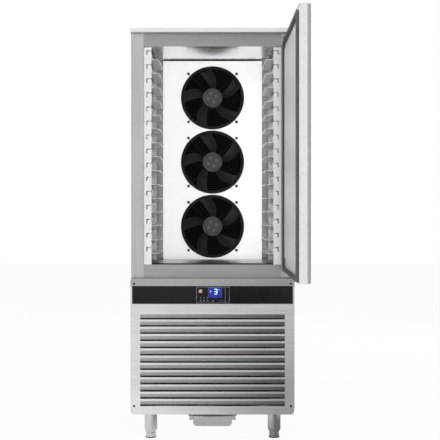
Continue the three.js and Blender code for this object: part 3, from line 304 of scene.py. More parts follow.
def build_shader_groups():
    """What the finishes share: grain, handling marks, edges that are lighter where worn and by a
    painted highlight, and moulded texture.
    """
    place = ("Vector", "Vector")
    mask = ("Mask", "Float")
    height = ("Height", "Float")

    # brushing lines: noise drawn out along one direction, coarse and fine together
    tree, given, result = new_tree(
        "Brushed grain", "Shader",
        (place, ("Stretch", "Vector", (1.0, 1.0, 1.0)), ("Scale", "Float", 60.0)),
        (("Streak", "Float"), height),
    )
    drawn = vector_calc(tree, "MULTIPLY", given["Vector"], given["Stretch"])[0]
    coarse = noise(tree, drawn, given["Scale"])
    fine = noise(tree, drawn, calc(tree, "MULTIPLY", given["Scale"], 9.0), detail=3.0)
    feed(tree, result, {"Streak": ranged(tree, coarse, 0.0, 1.0), "Height": fine})

    # broad handling marks, for small changes of gloss and tone
    tree, given, result = new_tree(
        "Handling marks", "Shader", (place, ("Scale", "Float", 5.0)), (mask,)
    )
    smudges = noise(tree, given["Vector"], given["Scale"], detail=4.0, distortion=0.6)
    feed(tree, result, {"Mask": ranged(tree, smudges, 0.0, 1.0)})

    # edges lighter where worn and by a painted highlight: where the surface turns sharply, broken
    # up by noise
    tree, given, result = new_tree(
        "Rubbed edges", "Shader", (place, ("Amount", "Float", 0.5)), (mask,)
    )
    edge = ranged(tree, add(tree, "ShaderNodeNewGeometry")["Pointiness"], 0.0, 1.0, 0.52, 0.60)
    patches = ranged(tree, noise(tree, given["Vector"], 90.0), 0.0, 1.0)
    broken = calc(tree, "MULTIPLY", edge, patches)
    feed(tree, result, {"Mask": calc(tree, "MULTIPLY", broken, given["Amount"], use_clamp=True)})

    # fine moulded texture of plastic, rubber and powder coat
    tree, given, result = new_tree(
        "Moulded speckle", "Shader",
        (place, ("Scale", "Float", 900.0)), (("Tone", "Float"), height),
    )
    cells = add(tree, "ShaderNodeTexVoronoi", {"Vector": given["Vector"], "Scale": given["Scale"]})
    cloud = noise(tree, given["Vector"], 14.0, detail=3.0)
    feed(tree, result, {"Tone": ranged(tree, cloud, 0.0, 1.0), "Height": cells["Distance"]})


# ---------- materials ----------


def placed_group(tree, name, **values):
    """Outputs of a shader group that is fed with Object coordinates."""
    place = add(tree, "ShaderNodeTexCoord")["Object"]
    group = bpy.data.node_groups[name]
    return add(tree, "ShaderNodeGroup", {"Vector": place, **values}, node_tree=group)


def shaded(colour, factor):
    return tuple(min(part * factor, 1.0) for part in colour)


def principled(name):
    """Tree of a new material and the inputs of its shader."""
    material = bpy.data.materials.new(name)
    material.use_nodes = True
    return material.node_tree, material.node_tree.nodes["Principled BSDF"].inputs


def brushed_metal(name, colour, roughness, stretch, tone=0.12, marks=0.06, scale=60.0,
                  metallic=1.0):
    """Metal with grain across the stretched direction and faint marks; satin if less metallic."""
    tree, shader = principled(name)
    grain = placed_group(tree, "Brushed grain", Stretch=stretch, Scale=scale)
    smudge = placed_group(tree, "Handling marks", Scale=4.0)
    edge_wear_highlight = placed_group(tree, "Rubbed edges", Amount=0.5)
    streaked = blended(tree, grain["Streak"], colour, shaded(colour, 1.0 - tone))
    feed(tree, shader, {
        # sharp edges are lighter, partly worn and partly a painted highlight
        "Base Color": blended(tree, edge_wear_highlight["Mask"], streaked, shaded(colour, 1.25)),
        "Roughness": ranged(tree, smudge["Mask"], roughness - marks / 2, roughness + marks / 2),
        "Normal": bumped(tree, grain["Height"], 0.08, 0.0004),
        "Metallic": metallic,
    })


def moulded(name, colour, roughness, texture=0.15, scale=900.0, edge_wear_highlight=None, metallic=0.0,
            specular=0.5):
    """Plastic, rubber or powder coat with a fine texture and lighter sharp edges, partly worn and
    partly a painted highlight.
    """
    tree, shader = principled(name)
    speckle = placed_group(tree, "Moulded speckle", Scale=scale)
    worn_lit_edges = placed_group(tree, "Rubbed edges", Amount=0.6)
    cloudy = blended(tree, speckle["Tone"], shaded(colour, 0.975), shaded(colour, 1.02))
    feed(tree, shader, {
        "Base Color": blended(tree, worn_lit_edges["Mask"], cloudy, edge_wear_highlight or shaded(colour, 1.6)),
        "Roughness": ranged(tree, speckle["Tone"], roughness - 0.04, roughness + 0.04),
        "Normal": bumped(tree, speckle["Height"], texture, 0.0002),
        "Metallic": metallic,
        "Specular IOR Level": specular,
    })


def lit(name, colour, glow, strength):
    """Display film that glows: mottled colour with its own light."""
    tree, shader = principled(name)
    tone = placed_group(tree, "Moulded speckle", Scale=400.0)["Tone"]
    feed(tree, shader, {
        "Base Color": blended(tree, tone, colour, shaded(colour, 1.2)),
        "Emission Color": blended(tree, tone, glow, shaded(glow, 1.1)),
        "Emission Strength": strength,
        "Roughness": 0.15,
    })


ALONG_X = (0.04, 1.0, 1.0)
ALONG_Y = (1.0, 0.04, 1.0)
ALONG_Z = (1.0, 1.0, 0.04)
EVEN = (1.0, 1.0, 1.0)


def build_materials():
    """Every finish of the machine, by a maker's name."""
    colours = bpy.context.scene.chiller_colours
    side, front = tuple(colours.side_steel), tuple(colours.front_steel)
    liner, rack = tuple(colours.liner_steel), tuple(colours.rack_steel)
    black, blue = tuple(colours.fan_black), tuple(colours.display_blue)
    soot = (0.012, 0.012, 0.013)
    soft = {"tone": 0.04, "marks": 0.03}
    brushed_metal("side steel", side, 0.36, ALONG_Z, metallic=0.8)
    # a darker copy of the side steel: painted shade of the header and sill rail, whose grain runs
    # across
    brushed_metal("rail steel", shaded(side, 0.88), 0.36, ALONG_X)
    brushed_metal("front steel", front, 0.34, ALONG_X)
    # a darker copy of the front steel: painted shade on the panel's strip above the fascia
    brushed_metal("strip steel", shaded(front, 0.62), 0.34, ALONG_X)
    # a darker copy of the front steel: painted shade on the louvre blades
    brushed_metal("blade steel", shaded(front, 0.47), 0.3, ALONG_X)
    brushed_metal("door steel", shaded(front, 0.61), 0.36, ALONG_Z, metallic=0.25, **soft)
    brushed_metal("cover steel", shaded(front, 0.74), 0.38, ALONG_X, metallic=0.35, **soft)
    brushed_metal("liner steel", shaded(liner, 1.2), 0.40, ALONG_Z, tone=0.05, metallic=0.2)
    brushed_metal("floor steel", shaded(liner, 0.9), 0.36, ALONG_X, tone=0.05)
    brushed_metal("ceiling steel", shaded(liner, 1.5), 0.22, ALONG_X, 0.03, 0.02, metallic=0.85)
    brushed_metal("door liner steel", shaded(liner, 1.5), 0.40, ALONG_Z, tone=0.05, metallic=0.3)
    brushed_metal("rack steel", rack, 0.38, ALONG_Y, tone=0.05, metallic=0.2)
    # a lighter copy of the rack steel: painted light on the rack's faces that don't look to the
    # front or back
    brushed_metal("runner steel", shaded(rack, 1.4), 0.38, ALONG_Y, tone=0.05, metallic=0.1)
    # a lighter, glossier copy of the rack steel: painted highlight on the ledges' rolled edges
    brushed_metal("edge steel", shaded(rack, 1.35), 0.2, ALONG_Y, 0.03, 0.02)
    brushed_metal("leg steel", (0.62, 0.62, 0.63), 0.12, ALONG_Z, scale=120.0, marks=0.04)
    brushed_metal("rail zinc", (0.36, 0.365, 0.37), 0.42, ALONG_Y, metallic=0.2)
    brushed_metal("grip aluminium", (0.45, 0.455, 0.46), 0.42, ALONG_Z, tone=0.06, metallic=0.5)
    brushed_metal("fin aluminium", (0.55, 0.56, 0.57), 0.42, ALONG_Z)
    brushed_metal("copper", (0.72, 0.36, 0.22), 0.32, ALONG_X, scale=30.0)
    brushed_metal("zinc sheet", (0.46, 0.47, 0.48), 0.45, EVEN, tone=0.22, scale=22.0)
    # near-black without gloss: painted shade of the plenum behind the fans, on the evaporator's
    # fins, tubes and back sheet
    moulded("fin coating", (0.004, 0.004, 0.0045), 0.8, specular=0.0)
    moulded("panel white", tuple(colours.panel_white), 0.42, texture=0.05)
    moulded("guard black", black, 0.5, texture=0.1, edge_wear_highlight=(0.02, 0.02, 0.021), specular=0.2)
    moulded("impeller black", shaded(black, 2.2), 0.42, edge_wear_highlight=(0.04, 0.04, 0.042))
    moulded("hub grey", (0.085, 0.086, 0.088), 0.45)
    moulded("plate grey", (0.038, 0.039, 0.041), 0.45, texture=0.1)
    moulded("motor grey", (0.075, 0.078, 0.082), 0.5, texture=0.2)
    moulded("fascia black", tuple(colours.fascia_black), 0.12, texture=0.0, specular=0.2)
    moulded("gasket grey", tuple(colours.gasket_grey), 0.62, texture=0.25)
    moulded("threshold black", (0.006, 0.006, 0.007), 0.55, texture=0.3)
    moulded("tray grey", tuple(colours.tray_grey), 0.48, texture=0.12)
    moulded("key beige", (0.40, 0.27, 0.23), 0.5)
    moulded("key brown", (0.035, 0.012, 0.010), 0.5)
    moulded("key black", (0.008, 0.008, 0.009), 0.35, specular=0.25)
    moulded("mark grey", (0.20, 0.205, 0.21), 0.5)
    moulded("screw black", soot, 0.35, metallic=0.6, edge_wear_highlight=(0.1, 0.1, 0.1))
    moulded("compressor black", soot, 0.38, texture=0.1)
    moulded("foam", (0.78, 0.70, 0.48), 0.85, texture=0.6, scale=260.0)
    lit("display film", blue, blue, 0.3)
    lit("display mark", (0.4, 0.55, 0.9), (0.45, 0.65, 1.0), 0.7)


# ---------- mesh making ----------


def plain_object(name, mesh):
    piece = bpy.data.objects.new(name, mesh)
    bpy.context.scene.collection.objects.link(piece)
    return piece


def mesh_piece(name, draw):
    """Object whose mesh is filled by a function of a bmesh."""
    mesh = bpy.data.meshes.new(name)
    shape = bmesh.new()
    draw(shape)
    bmesh.ops.remove_doubles(shape, verts=shape.verts, dist=1e-6)
    bmesh.ops.recalc_face_normals(shape, faces=shape.faces)
    shape.to_mesh(mesh)
    shape.free()
    return plain_object(name, mesh)


def modified(piece, kind, **settings):
    """Adds a modifier and swaps in the mesh that it gives."""
    modifier = piece.modifiers.new(kind, kind)
    for name, setting in settings.items():
        setattr(modifier, name, setting)
    return settled(piece)


def settled(piece):
    """Applies live modifiers by swapping in the evaluated mesh."""
    graph = bpy.context.evaluated_depsgraph_get()
    mesh = bpy.data.meshes.new_from_object(piece.evaluated_get(graph), depsgraph=graph)
    piece.modifiers.clear()
    old, piece.data = piece.data, mesh
    mesh.name = piece.name
    bpy.data.meshes.remove(old)
    return piece


def finished(piece, materials, slot, *nodes, body="cabinet", angle=SMOOTH_ANGLE):
    """Gives a piece its finish, smooth shading and its body, and hides the CAD nodes that it stands
    for.
    """
    if isinstance(materials, str):
        piece.data.materials.clear()
        materials = (materials,)
    for name in materials:
        piece.data.materials.append(bpy.data.materials[name])
    piece.data.shade_smooth()
    piece.data.set_sharp_from_angle(angle=angle)
    modified(piece, "WEIGHTED_NORMAL", keep_sharp=True, weight=100)
    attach(piece, body)
    if nodes:
        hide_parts(*nodes)
    return piece


def bevelled(piece, width, segments=2):
    return modified(piece, "BEVEL", width=width, segments=segments, limit_method="ANGLE",
                    angle_limit=SMOOTH_ANGLE, use_clamp_overlap=True)


def built(name, draw, materials, slot, *nodes, body="cabinet", edge=0.0):
    """Piece drawn by a function of a bmesh, with its edges rounded if asked."""
    piece = mesh_piece(name, draw)
    if edge:
        bevelled(piece, edge)
    return finished(piece, materials, slot, *nodes, body=body)


def boxes(name, corners, material, slot, edge):
    """Piece of boxes, each given by two corners, with rounded edges."""
    def draw(shape):
        for corner, opposite in corners:
            block(shape, corner, opposite)

    built(name, draw, material, slot, edge=edge)


def lathe(name, profile, place, steps, material, slot, body="cabinet"):
    """Piece turned about an axis that runs from front to back."""
    built(name, lambda shape: turned(shape, profile, place, steps, "Y"), material, slot, body=body)


def softened(node, material, slot, width, segments=2, body="cabinet"):
    """A welded copy of a CAD node with its edges rounded, standing for the node."""
    mesh = frame["nodes"][node].data.copy()
    shape = bmesh.new()
    shape.from_mesh(mesh)
    bmesh.ops.remove_doubles(shape, verts=shape.verts, dist=WELD)
    shape.to_mesh(mesh)
    shape.free()
    piece = bevelled(plain_object(f"{node}_sheet", mesh), width, segments)
    return finished(piece, material, slot, node, body=body)


def skin(shape, rings, joined=False):
    """Quads between rings of points; the two ends are capped, or joined to each other."""
    rows = [[shape.verts.new(point) for point in ring] for ring in rings]
    count = len(rows[0])
    following = rows[1:] + rows[:1] if joined else rows[1:]
    for first, second in zip(rows, following):
        for index in range(count):
            after = (index + 1) % count
            shape.faces.new((first[index], first[after], second[after], second[index]))
    if not joined:
        shape.faces.new(list(reversed(rows[0])))
        shape.faces.new(rows[-1])


def turned(shape, profile, place, steps=48, axis="Z", joined=False):
    """Lathe shape of a (radius, station) profile about an axis through place."""
    rings = []
    for radius, station in profile:
        ring = [
            (radius * math.cos(angle), radius * math.sin(angle)) for angle in round_angles(steps)
        ]
        rings.append([
            place + Vector((a, station, b) if axis == "Y" else (a, b, station)) for a, b in ring
        ])
    skin(shape, rings, joined)


def round_angles(count, start=0.0):
    """Angles of an even division of a circle."""
    return [start + 2 * math.pi * index / count for index in range(count)]


def spoke(angle):
    """Direction of an angle on a face that looks to the front."""
    return Vector((math.cos(angle), 0.0, math.sin(angle)))


def arc(centre, radius, start, end, steps):
    """Points of a circular arc, in degrees, as (a, b) pairs."""
    x, y = centre
    angles = [math.radians(start + (end - start) * step / steps) for step in range(steps + 1)]
    return [(x + radius * math.cos(angle), y + radius * math.sin(angle)) for angle in angles]


def block(shape, corner, opposite):
    """Box between two corners."""
    size = Vector(opposite) - Vector(corner)
    centre = (Vector(opposite) + Vector(corner)) / 2
    matrix = Matrix.Translation(centre) @ Matrix.Diagonal((*size, 1.0))
    bmesh.ops.create_cube(shape, size=1.0, matrix=matrix)


def swept(shape, path, radius, sides=8):
    """Round wire along a list of points."""
    points = [Vector(point) for point in path]
    rings = []
    side = None
    for index, point in enumerate(points):
        along = (points[min(index + 1, len(points) - 1)] - points[max(index - 1, 0)]).normalized()
        side = along.orthogonal() if side is None else side - along * side.dot(along)
        side.normalize()
        other = along.cross(side)
        rings.append([
            point + radius * (math.cos(angle) * side + math.sin(angle) * other)
            for angle in round_angles(sides)
        ])
    skin(shape, rings)


def corner_loop(bounds, inset, radius, y, steps=6):
    """Rectangle in X and Z with rounded corners; with no radius each corner's points coincide."""
    x0, x1, z0, z1 = bounds
    loop = []
    for x, z, start in ((x1, z1, 0), (x0, z1, 90), (x0, z0, 180), (x1, z0, 270)):
        centre_x = x - inset - radius if x == x1 else x + inset + radius
        centre_z = z - inset - radius if z == z1 else z + inset + radius
        corner = arc((centre_x, centre_z), radius, start, start + 90, steps)
        loop += [Vector((a, y, b)) for a, b in corner]
    return loop


def mitred_ring(shape, profile, bounds):
    """Closed frame of a (inset, y) profile round a rectangle, mitred at the corners."""
    skin(shape, [corner_loop(bounds, inset, 0.0, y, 1)[::2] for inset, y in profile], joined=True)


# ---------- geometry node trees ----------

GEOMETRY = ("Geometry", "Geometry")
MATERIAL = ("Material", "Material")


def copies_on(tree, points, part, **given):
    given.update(Points=points, Instance=part)
    return add(tree, "GeometryNodeInstanceOnPoints", given)[0]


def end_tree(tree, result, geometry, material):
    """Makes copies real, gives them the material and ends the tree."""
    real = add(tree, "GeometryNodeRealizeInstances", {0: geometry})[0]
    painted = add(tree, "GeometryNodeSetMaterial", {"Geometry": real, "Material": material})[0]
    feed(tree, result, {0: painted})


def build_ring_tree():
    """Concentric wire rings on a shallow dome, for a fan guard facing the front."""
    tree, given, result = new_tree(
        "Guard rings", "Geometry",
        (GEOMETRY, ("Inner Radius", "Float"), ("Outer Radius", "Float"), ("Rings", "Int"),
         ("Wire", "Float"), ("Dome", "Float"), ("Place", "Vector"), MATERIAL),
        (GEOMETRY,),
    )
    inner = given["Inner Radius"]
    points = add(tree, "GeometryNodePoints", {"Count": given["Rings"]})[0]
    index = add(tree, "GeometryNodeInputIndex")[0]
    share = calc(tree, "DIVIDE", index, calc(tree, "SUBTRACT", given["Rings"], 1.0))
    spread = calc(tree, "SUBTRACT", given["Outer Radius"], inner)
    radius = calc(tree, "ADD", inner, calc(tree, "MULTIPLY", share, spread))
    circle = add(tree, "GeometryNodeCurvePrimitiveCircle", {"Resolution": 72, "Radius": 1.0})[0]
    copies = copies_on(tree, points, circle, Scale=combined(tree, X=radius, Y=radius, Z=radius))
    real = add(tree, "GeometryNodeRealizeInstances", {0: copies})[0]
    distance = vector_calc(tree, "LENGTH", add(tree, "GeometryNodeInputPosition")[0])["Value"]
    beyond = calc(tree, "SUBTRACT", distance, inner)
    fall = calc(tree, "POWER", calc(tree, "DIVIDE", beyond, spread), 2.0)
    rise = calc(tree, "MULTIPLY", calc(tree, "SUBTRACT", 1.0, fall), given["Dome"])
    domed = add(tree, "GeometryNodeSetPosition", {0: real, "Offset": combined(tree, Z=rise)})[0]
    section = add(
        tree, "GeometryNodeCurvePrimitiveCircle", {"Resolution": 8, "Radius": given["Wire"]}
    )[0]
    wires = add(tree, "GeometryNodeCurveToMesh", {"Curve": domed, "Profile Curve": section})[0]
    placing = {"Geometry": wires, "Rotation": TO_FRONT, "Translation": given["Place"]}
    placed = add(tree, "GeometryNodeTransform", placing)[0]
    end_tree(tree, result, placed, given["Material"])


def build_copy_tree():
    """Copies of one small part on every point of a mesh."""
    tree, given, result = new_tree(
        "Part on points", "Geometry",
        (GEOMETRY, ("Part", "Object"), ("Rotation", "Vector"), MATERIAL), (GEOMETRY,),
    )
    part = add(tree, "GeometryNodeObjectInfo", {"Object": given["Part"]})["Geometry"]
    turn = add(tree, "FunctionNodeEulerToRotation", {0: given["Rotation"]})[0]
    copies = copies_on(tree, given["Geometry"], part, Rotation=turn)
    end_tree(tree, result, copies, given["Material"])


def build_fin_tree():
    """A row of thin upright fins along X that fills a box."""
    tree, given, result = new_tree(
        "Fin stack", "Geometry",
        (GEOMETRY, ("Corner", "Vector"), ("Size", "Vector"),
         ("Pitch", "Float"), ("Sheet", "Float"), MATERIAL),
        (GEOMETRY,),
    )
    size = add(tree, "ShaderNodeSeparateXYZ", {0: given["Size"]})
    count = calc(tree, "FLOOR", calc(tree, "DIVIDE", size["X"], given["Pitch"]))
    half = vector_calc(tree, "MULTIPLY", given["Size"], (0.0, 0.5, 0.5))[0]
    row = add(tree, "GeometryNodeMeshLine", {
        "Count": count,
        "Start Location": vector_calc(tree, "ADD", given["Corner"], half)[0],
        "Offset": combined(tree, X=given["Pitch"]),
    })[0]
    blade = combined(tree, X=given["Sheet"], Y=size["Y"], Z=size["Z"])
    fin = add(tree, "GeometryNodeMeshCube", {"Size": blade})[0]
    end_tree(tree, result, copies_on(tree, row, fin), given["Material"])


def grown(name, tree_name, material, points=(), **values):
    """Runs a geometry tree on a set of points and keeps the result as a plain mesh piece."""
    mesh = bpy.data.meshes.new(name)
    mesh.from_pydata([tuple(point) for point in points], [], [])
    piece = plain_object(name, mesh)
    modifier = piece.modifiers.new(tree_name, "NODES")
    tree = modifier.node_group = bpy.data.node_groups[tree_name]
    values["Material"] = bpy.data.materials[material]
    for item in tree.interface.items_tree:
        if item.in_out == "INPUT" and item.name.replace(" ", "_") in values:
            modifier[item.identifier] = values[item.name.replace(" ", "_")]
    return settled(piece)


def repeated(name, draw, points, material, slot, *nodes, rotation=(0.0, 0.0, 0.0),
             angle=SMOOTH_ANGLE):
    """Copies of one small drawn part on points, as one piece of the cabinet."""
    part = mesh_piece("pattern", draw)
    piece = grown(name, "Part on points", material, points, Part=part, Rotation=rotation)
    bpy.data.objects.remove(part)
    return finished(piece, (), slot, *nodes, angle=angle)


def screws(name, points, radius, material):
    """Domed cross-recess screw heads on points of a surface that faces the front."""
    height = 0.45 * radius
    sink = 0.3 * height
    profile = [(radius, 0.0), (radius, sink), (0.86 * radius, 0.72 * height),
               (0.5 * radius, 0.96 * height), (0.22 * radius, height)]

    def head(shape):
        turned(shape, profile, Vector(), steps=16)
        for a, b in ((0.16, 0.62), (0.62, 0.16)):
            corner = Vector((a * radius, b * radius, height * 1.04))
            block(shape, (-corner.x, -corner.y, height - sink), corner)

    repeated(name, head, points, material, "guard_black", rotation=TO_FRONT)


# ---------- pieces and studio ----------


def set_camera(scene):
    data = bpy.data.cameras.new("camera")
    data.sensor_width = SENSOR
    data.lens = PHOTO_SCALE * EYE_DISTANCE / PHOTO_PIXELS * SENSOR
    data.shift_x = (PHOTO_PIXELS / 2 - PHOTO_AXIS_PIXEL[0]) / PHOTO_PIXELS
    data.shift_y = (PHOTO_AXIS_PIXEL[1] - PHOTO_PIXELS / 2) / PHOTO_PIXELS
    data.clip_end = 60.0
    camera = scene.camera = plain_object("camera", data)
    camera.location = (0.0, FRAME_Y - EYE_DISTANCE, EYE_HEIGHT)
    camera.rotation_euler = TO_FRONT


def rays(tree):
    """Whether the camera sees a place, straight or through glass, and whether metal mirrors it."""
    path = add(tree, "ShaderNodeLightPath")
    seen = calc(tree, "MAXIMUM", path["Is Camera Ray"], path["Is Transmission Ray"])
    return seen, path["Is Glossy Ray"]


def mirrored_tone(tree, across, stops):
    """Brightness that metal mirrors, by how far to the side it looks."""
    ramp = tree.nodes.new("ShaderNodeValToRGB")
    elements = ramp.color_ramp.elements
    while len(elements) < len(stops):
        elements.new(0.5)
    for element, (place, tone) in zip(elements, stops):
        element.position = place
        element.color = (tone, tone, tone, 1.0)
    feed(tree, ramp.inputs, {"Fac": calc(tree, "MULTIPLY_ADD", across, 0.5, 0.5)})
    return ramp.outputs["Color"]


def set_world(scene):
    """White backdrop; what metal mirrors behind the camera shades off to the right."""
    world = scene.world = bpy.data.worlds.new("studio")
    world.use_nodes = True
    tree = world.node_tree
    tree.nodes.clear()
    incoming = add(tree, "ShaderNodeNewGeometry")["Incoming"]
    towards = add(tree, "ShaderNodeSeparateXYZ", {0: incoming})
    behind_camera = ranged(tree, towards["Y"], 0.0, 1.0, 0.05, 0.45)
    tone = mirrored_tone(tree, calc(tree, "MULTIPLY", towards["X"], -1.0), STUDIO_TONES)
    seen, glossy = rays(tree)
    strength = mixed(tree, glossy, DIFFUSE_SKY, mixed(tree, behind_camera, 1.0, tone))
    light = {"Color": WHITE, "Strength": mixed(tree, seen, strength, 1.0)}
    surface = add(tree, "ShaderNodeBackground", light)[0]
    add(tree, "ShaderNodeOutputWorld", {"Surface": surface})


def set_floor():
    """Pale floor that the camera sees white and metal mirrors with its own tones."""
    def grid(shape):
        bmesh.ops.create_grid(shape, x_segments=1, y_segments=1, size=FLOOR_HALF)

    floor = mesh_piece("floor", grid)
    if floor.data.polygons[0].normal.z < 0:
        floor.data.flip_normals()
    tree, shader = principled("floor white")
    marks = placed_group(tree, "Handling marks", Scale=0.8)["Mask"]
    paint = blended(tree, marks, (0.86, 0.86, 0.86), (0.88, 0.88, 0.88))
    feed(tree, shader, {"Base Color": paint, "Roughness": 0.9, "Specular IOR Level": 0.1})
    place = add(tree, "ShaderNodeSeparateXYZ", {0: add(tree, "ShaderNodeTexCoord")["Object"]})
    across = calc(tree, "MULTIPLY", place["X"], 1.0 / FLOOR_SHADE_DISTANCE)
    tone = mirrored_tone(tree, across, FLOOR_TONES)
    seen, glossy = rays(tree)
    light = {"Color": WHITE, "Strength": mixed(tree, glossy, 1.0, tone)}
    glow = add(tree, "ShaderNodeEmission", light)[0]
    share = calc(tree, "MULTIPLY", calc(tree, "MAXIMUM", seen, glossy), FLOOR_GLOW)
    plain = tree.nodes["Principled BSDF"].outputs[0]
    surface = add(tree, "ShaderNodeMixShader", {0: share, 1: plain, 2: glow})[0]
    feed(tree, tree.nodes["Material Output"].inputs, {"Surface": surface})
    floor.data.materials.append(bpy.data.materials["floor white"])


def set_lights():
    """Soft square lamps that metal doesn't mirror."""
    for name, place, size, power in LAMPS:
        data = bpy.data.lights.new(name, "AREA")
        data.shape = "SQUARE"
        data.size = size
        data.energy = power
        lamp = plain_object(name, data)
        lamp.location = place
        lamp.visible_glossy = False
        lamp.rotation_euler = (LAMP_TARGET - lamp.location).to_track_quat("-Z", "Y").to_euler()


def build_stage(_sizes):
    scene = bpy.context.scene
    scene.view_settings.view_transform = "Standard"
    set_camera(scene)
    set_world(scene)
    set_floor()
    set_lights()


def ceiling_sheet():
    """Polished cover sheet under the chamber's ceiling, up to the slot above the fan panel."""
    half = low("rack_right").x + RACK_COVER
    under = high("fan_panel").z + SLOT_OVER_FAN_PANEL
    front, rear = FRAME_Y + CEILING_SETBACK, FAN_PANEL_Y - 0.0005
    sheet = ((-half, front, under), (half, rear, under + SHEET))
    boxes("ceiling_sheet", [sheet], "ceiling steel", "stainless_liner", 0.0004)


def tray_rack(side, node, sizes):
    """Uprights whose faces that don't look to the front or back are painted lighter, as light on
    them; the ledges' rolled edges carry a painted highlight.
    """
    rack = softened(node, "rack steel", "stainless_rack", sizes.sheet_edge)
    rack.data.materials.append(bpy.data.materials["runner steel"])
    # faces that don't look to the front or back take the lighter copy: painted light by which way
    # they turn
    for face in rack.data.polygons:
        face.material_index = int(abs(face.normal.y) < 0.7)
    tip = min(abs(low(node).x), abs(high(node).x))
    radius = sizes.ledge_edge
    x, y = tip + radius, low(node).y + LEDGE_SETBACK + radius
    corner = LEDGE_CORNER - radius
    turn = arc((x + corner, y + corner), corner, 270, 180, 10)
    path = [(tip + LEDGE_WIDTH - 0.001, y), *turn, (x, high(node).y - 0.003)]

    def edge(shape):
        swept(shape, [(side * along, depth, 0.0) for along, depth in path], radius)

    top = LEDGE_TOP - radius
    points = [(0.0, 0.0, top - index * LEDGE_PITCH) for index in range(LEDGE_COUNT)]
    repeated(f"{node}_ledge_edges", edge, points, "edge steel", "stainless_rack", node,
             angle=PATTERN_ANGLE)


def build_cabinet(sizes):
    edge, fold = sizes.sheet_edge, sizes.fold_edge
    sheets = (
        ("side steel", "stainless_side", edge,
         "casing_left", "casing_right", "casing_back", "rear_grille"),
        # header and sill rail take the darker copy of the side steel, painted shade
        ("rail steel", "stainless_side", edge, "body_top", "body_deck"),
        ("cover steel", "stainless_front", fold, "top_cover"),
        ("liner steel", "stainless_liner", edge, "liner_left", "liner_right", "liner_back"),
        ("ceiling steel", "stainless_liner", edge, "liner_ceiling"),
        ("floor steel", "stainless_liner", edge, "liner_floor"),
        ("threshold black", "black_rubber_strip", fold, "threshold_strip"),
        ("panel white", "panel_white", edge, "fan_panel"),
        ("front steel", "stainless_front", edge, "base_frame"),
    )
    for material, slot, width, *nodes in sheets:
        for node in nodes:
            softened(node, material, slot, width)
    ceiling_sheet()
    for side, node in ((-1, "rack_left"), (1, "rack_right")):
        tray_rack(side, node, sizes)
    for node in ("cabinet_insulation", "door_core"):
        frame["nodes"][node].data.materials.clear()
        frame["nodes"][node].data.materials.append(bpy.data.materials["foam"])


def fan_guard(level, sizes):
    """Domed rings, arms that are screwed to the fan panel, a centre plate and the bell mouth."""
    node = f"fan_guard_{level}"
    place, back, front = middle(node), high(node).y, low(node).y
    outer = half_width(node)
    rim_y = back - sizes.guard_wire
    dome = rim_y - front - 0.004
    bolt = outer + GUARD_BOLT_OUTSET
    quarters = round_angles(4, math.radians(45))

    def at(y):
        return Vector((place.x, y, place.z))

    rings = grown(
        f"guard_rings_{level}", "Guard rings", "guard black", Inner_Radius=GUARD_INNER,
        Outer_Radius=outer - sizes.guard_wire, Rings=sizes.guard_rings, Wire=sizes.guard_wire,
        Dome=dome, Place=at(rim_y),
    )
    finished(rings, (), "guard_black", node)

    def arms(shape):
        for angle in quarters:
            path = []
            for share in (0.0, 0.25, 0.5, 0.75, 0.92):
                radius = GUARD_ARM_START + share * (outer - GUARD_ARM_START)
                fall = max(radius - GUARD_INNER, 0.0) / (outer - GUARD_INNER)
                y = rim_y - dome * (1.0 - fall ** 2) - sizes.guard_wire - sizes.guard_arm
                path.append(at(y) + spoke(angle) * radius)
            path.append(at(rim_y - 0.002) + spoke(angle) * (outer + 0.004))
            path.append(at(rim_y - 0.0008) + spoke(angle) * (bolt - 0.006))
            swept(shape, path, sizes.guard_arm)
        mouth = [(FAN_MOUTH, -0.0014), (outer, -0.0014), (outer, -0.0004), (FAN_MOUTH, -0.0004)]
        turned(shape, mouth, at(FAN_PANEL_Y), 72, "Y", joined=True)
        rim = [(outer + a, b - 0.0036) for a, b in arc((0.0, 0.0), GUARD_RIM, 0, 330, 11)]
        turned(shape, rim, at(back), 72, "Y", joined=True)

    built(f"guard_arms_{level}", arms, "guard black", "guard_black")
    plate = [(0.040, -0.0028), (0.042, -0.0016), (0.042, 0.0), (0.040, 0.001)]
    lathe(f"guard_plate_{level}", plate, at(rim_y - dome - 0.002), 36, "plate grey", "guard_black")
    bolts = [at(back - 0.0022) + spoke(angle) * bolt for angle in quarters]
    screws(f"guard_bolts_{level}", bolts, GUARD_BOLT, "screw black")
    heads = [
        at(front + 0.0004) + spoke(angle) * PLATE_SCREW_RADIUS
        for angle in round_angles(4, math.radians(20))
    ]
    screws(f"guard_plate_screws_{level}", heads, PLATE_SCREW, "hub grey")


def fan_motor(node):
    """Ribbed housing with a shaft."""
    place, radius, depth = front_middle(node), half_width(node), 0.017

    def housing(shape):
        profile = [
            (0.0205, 0.0), (0.022, 0.0012), (radius - 0.010, 0.0014), (radius - 0.004, 0.003),
            (radius, 0.007), (radius, depth - 0.001), (radius - 0.001, depth),
        ]
        turned(shape, profile, place, axis="Y")
        shaft = [(0.006, depth - 0.001), (0.006, high(node).y - low(node).y)]
        turned(shape, shaft, place, 20, "Y")
        for angle in round_angles(12):
            ends = ((0.026, 0.0009), (radius - 0.008, 0.0014))
            path = [place + spoke(angle) * reach + Vector((0.0, y, 0.0)) for reach, y in ends]
            swept(shape, path, 0.0016, 6)

    built(f"{node}_housing", housing, "motor grey", "motor_grey", node)


def build_fans(sizes):
    for level in FAN_LEVELS:
        fan_guard(level, sizes)
        fan_motor(f"fan_motor_{level}")
        impeller(f"fan_impeller_{level}", f"fan_{level}", 5, hub=0.052, depth=0.036, span=30,
                 turn=15)


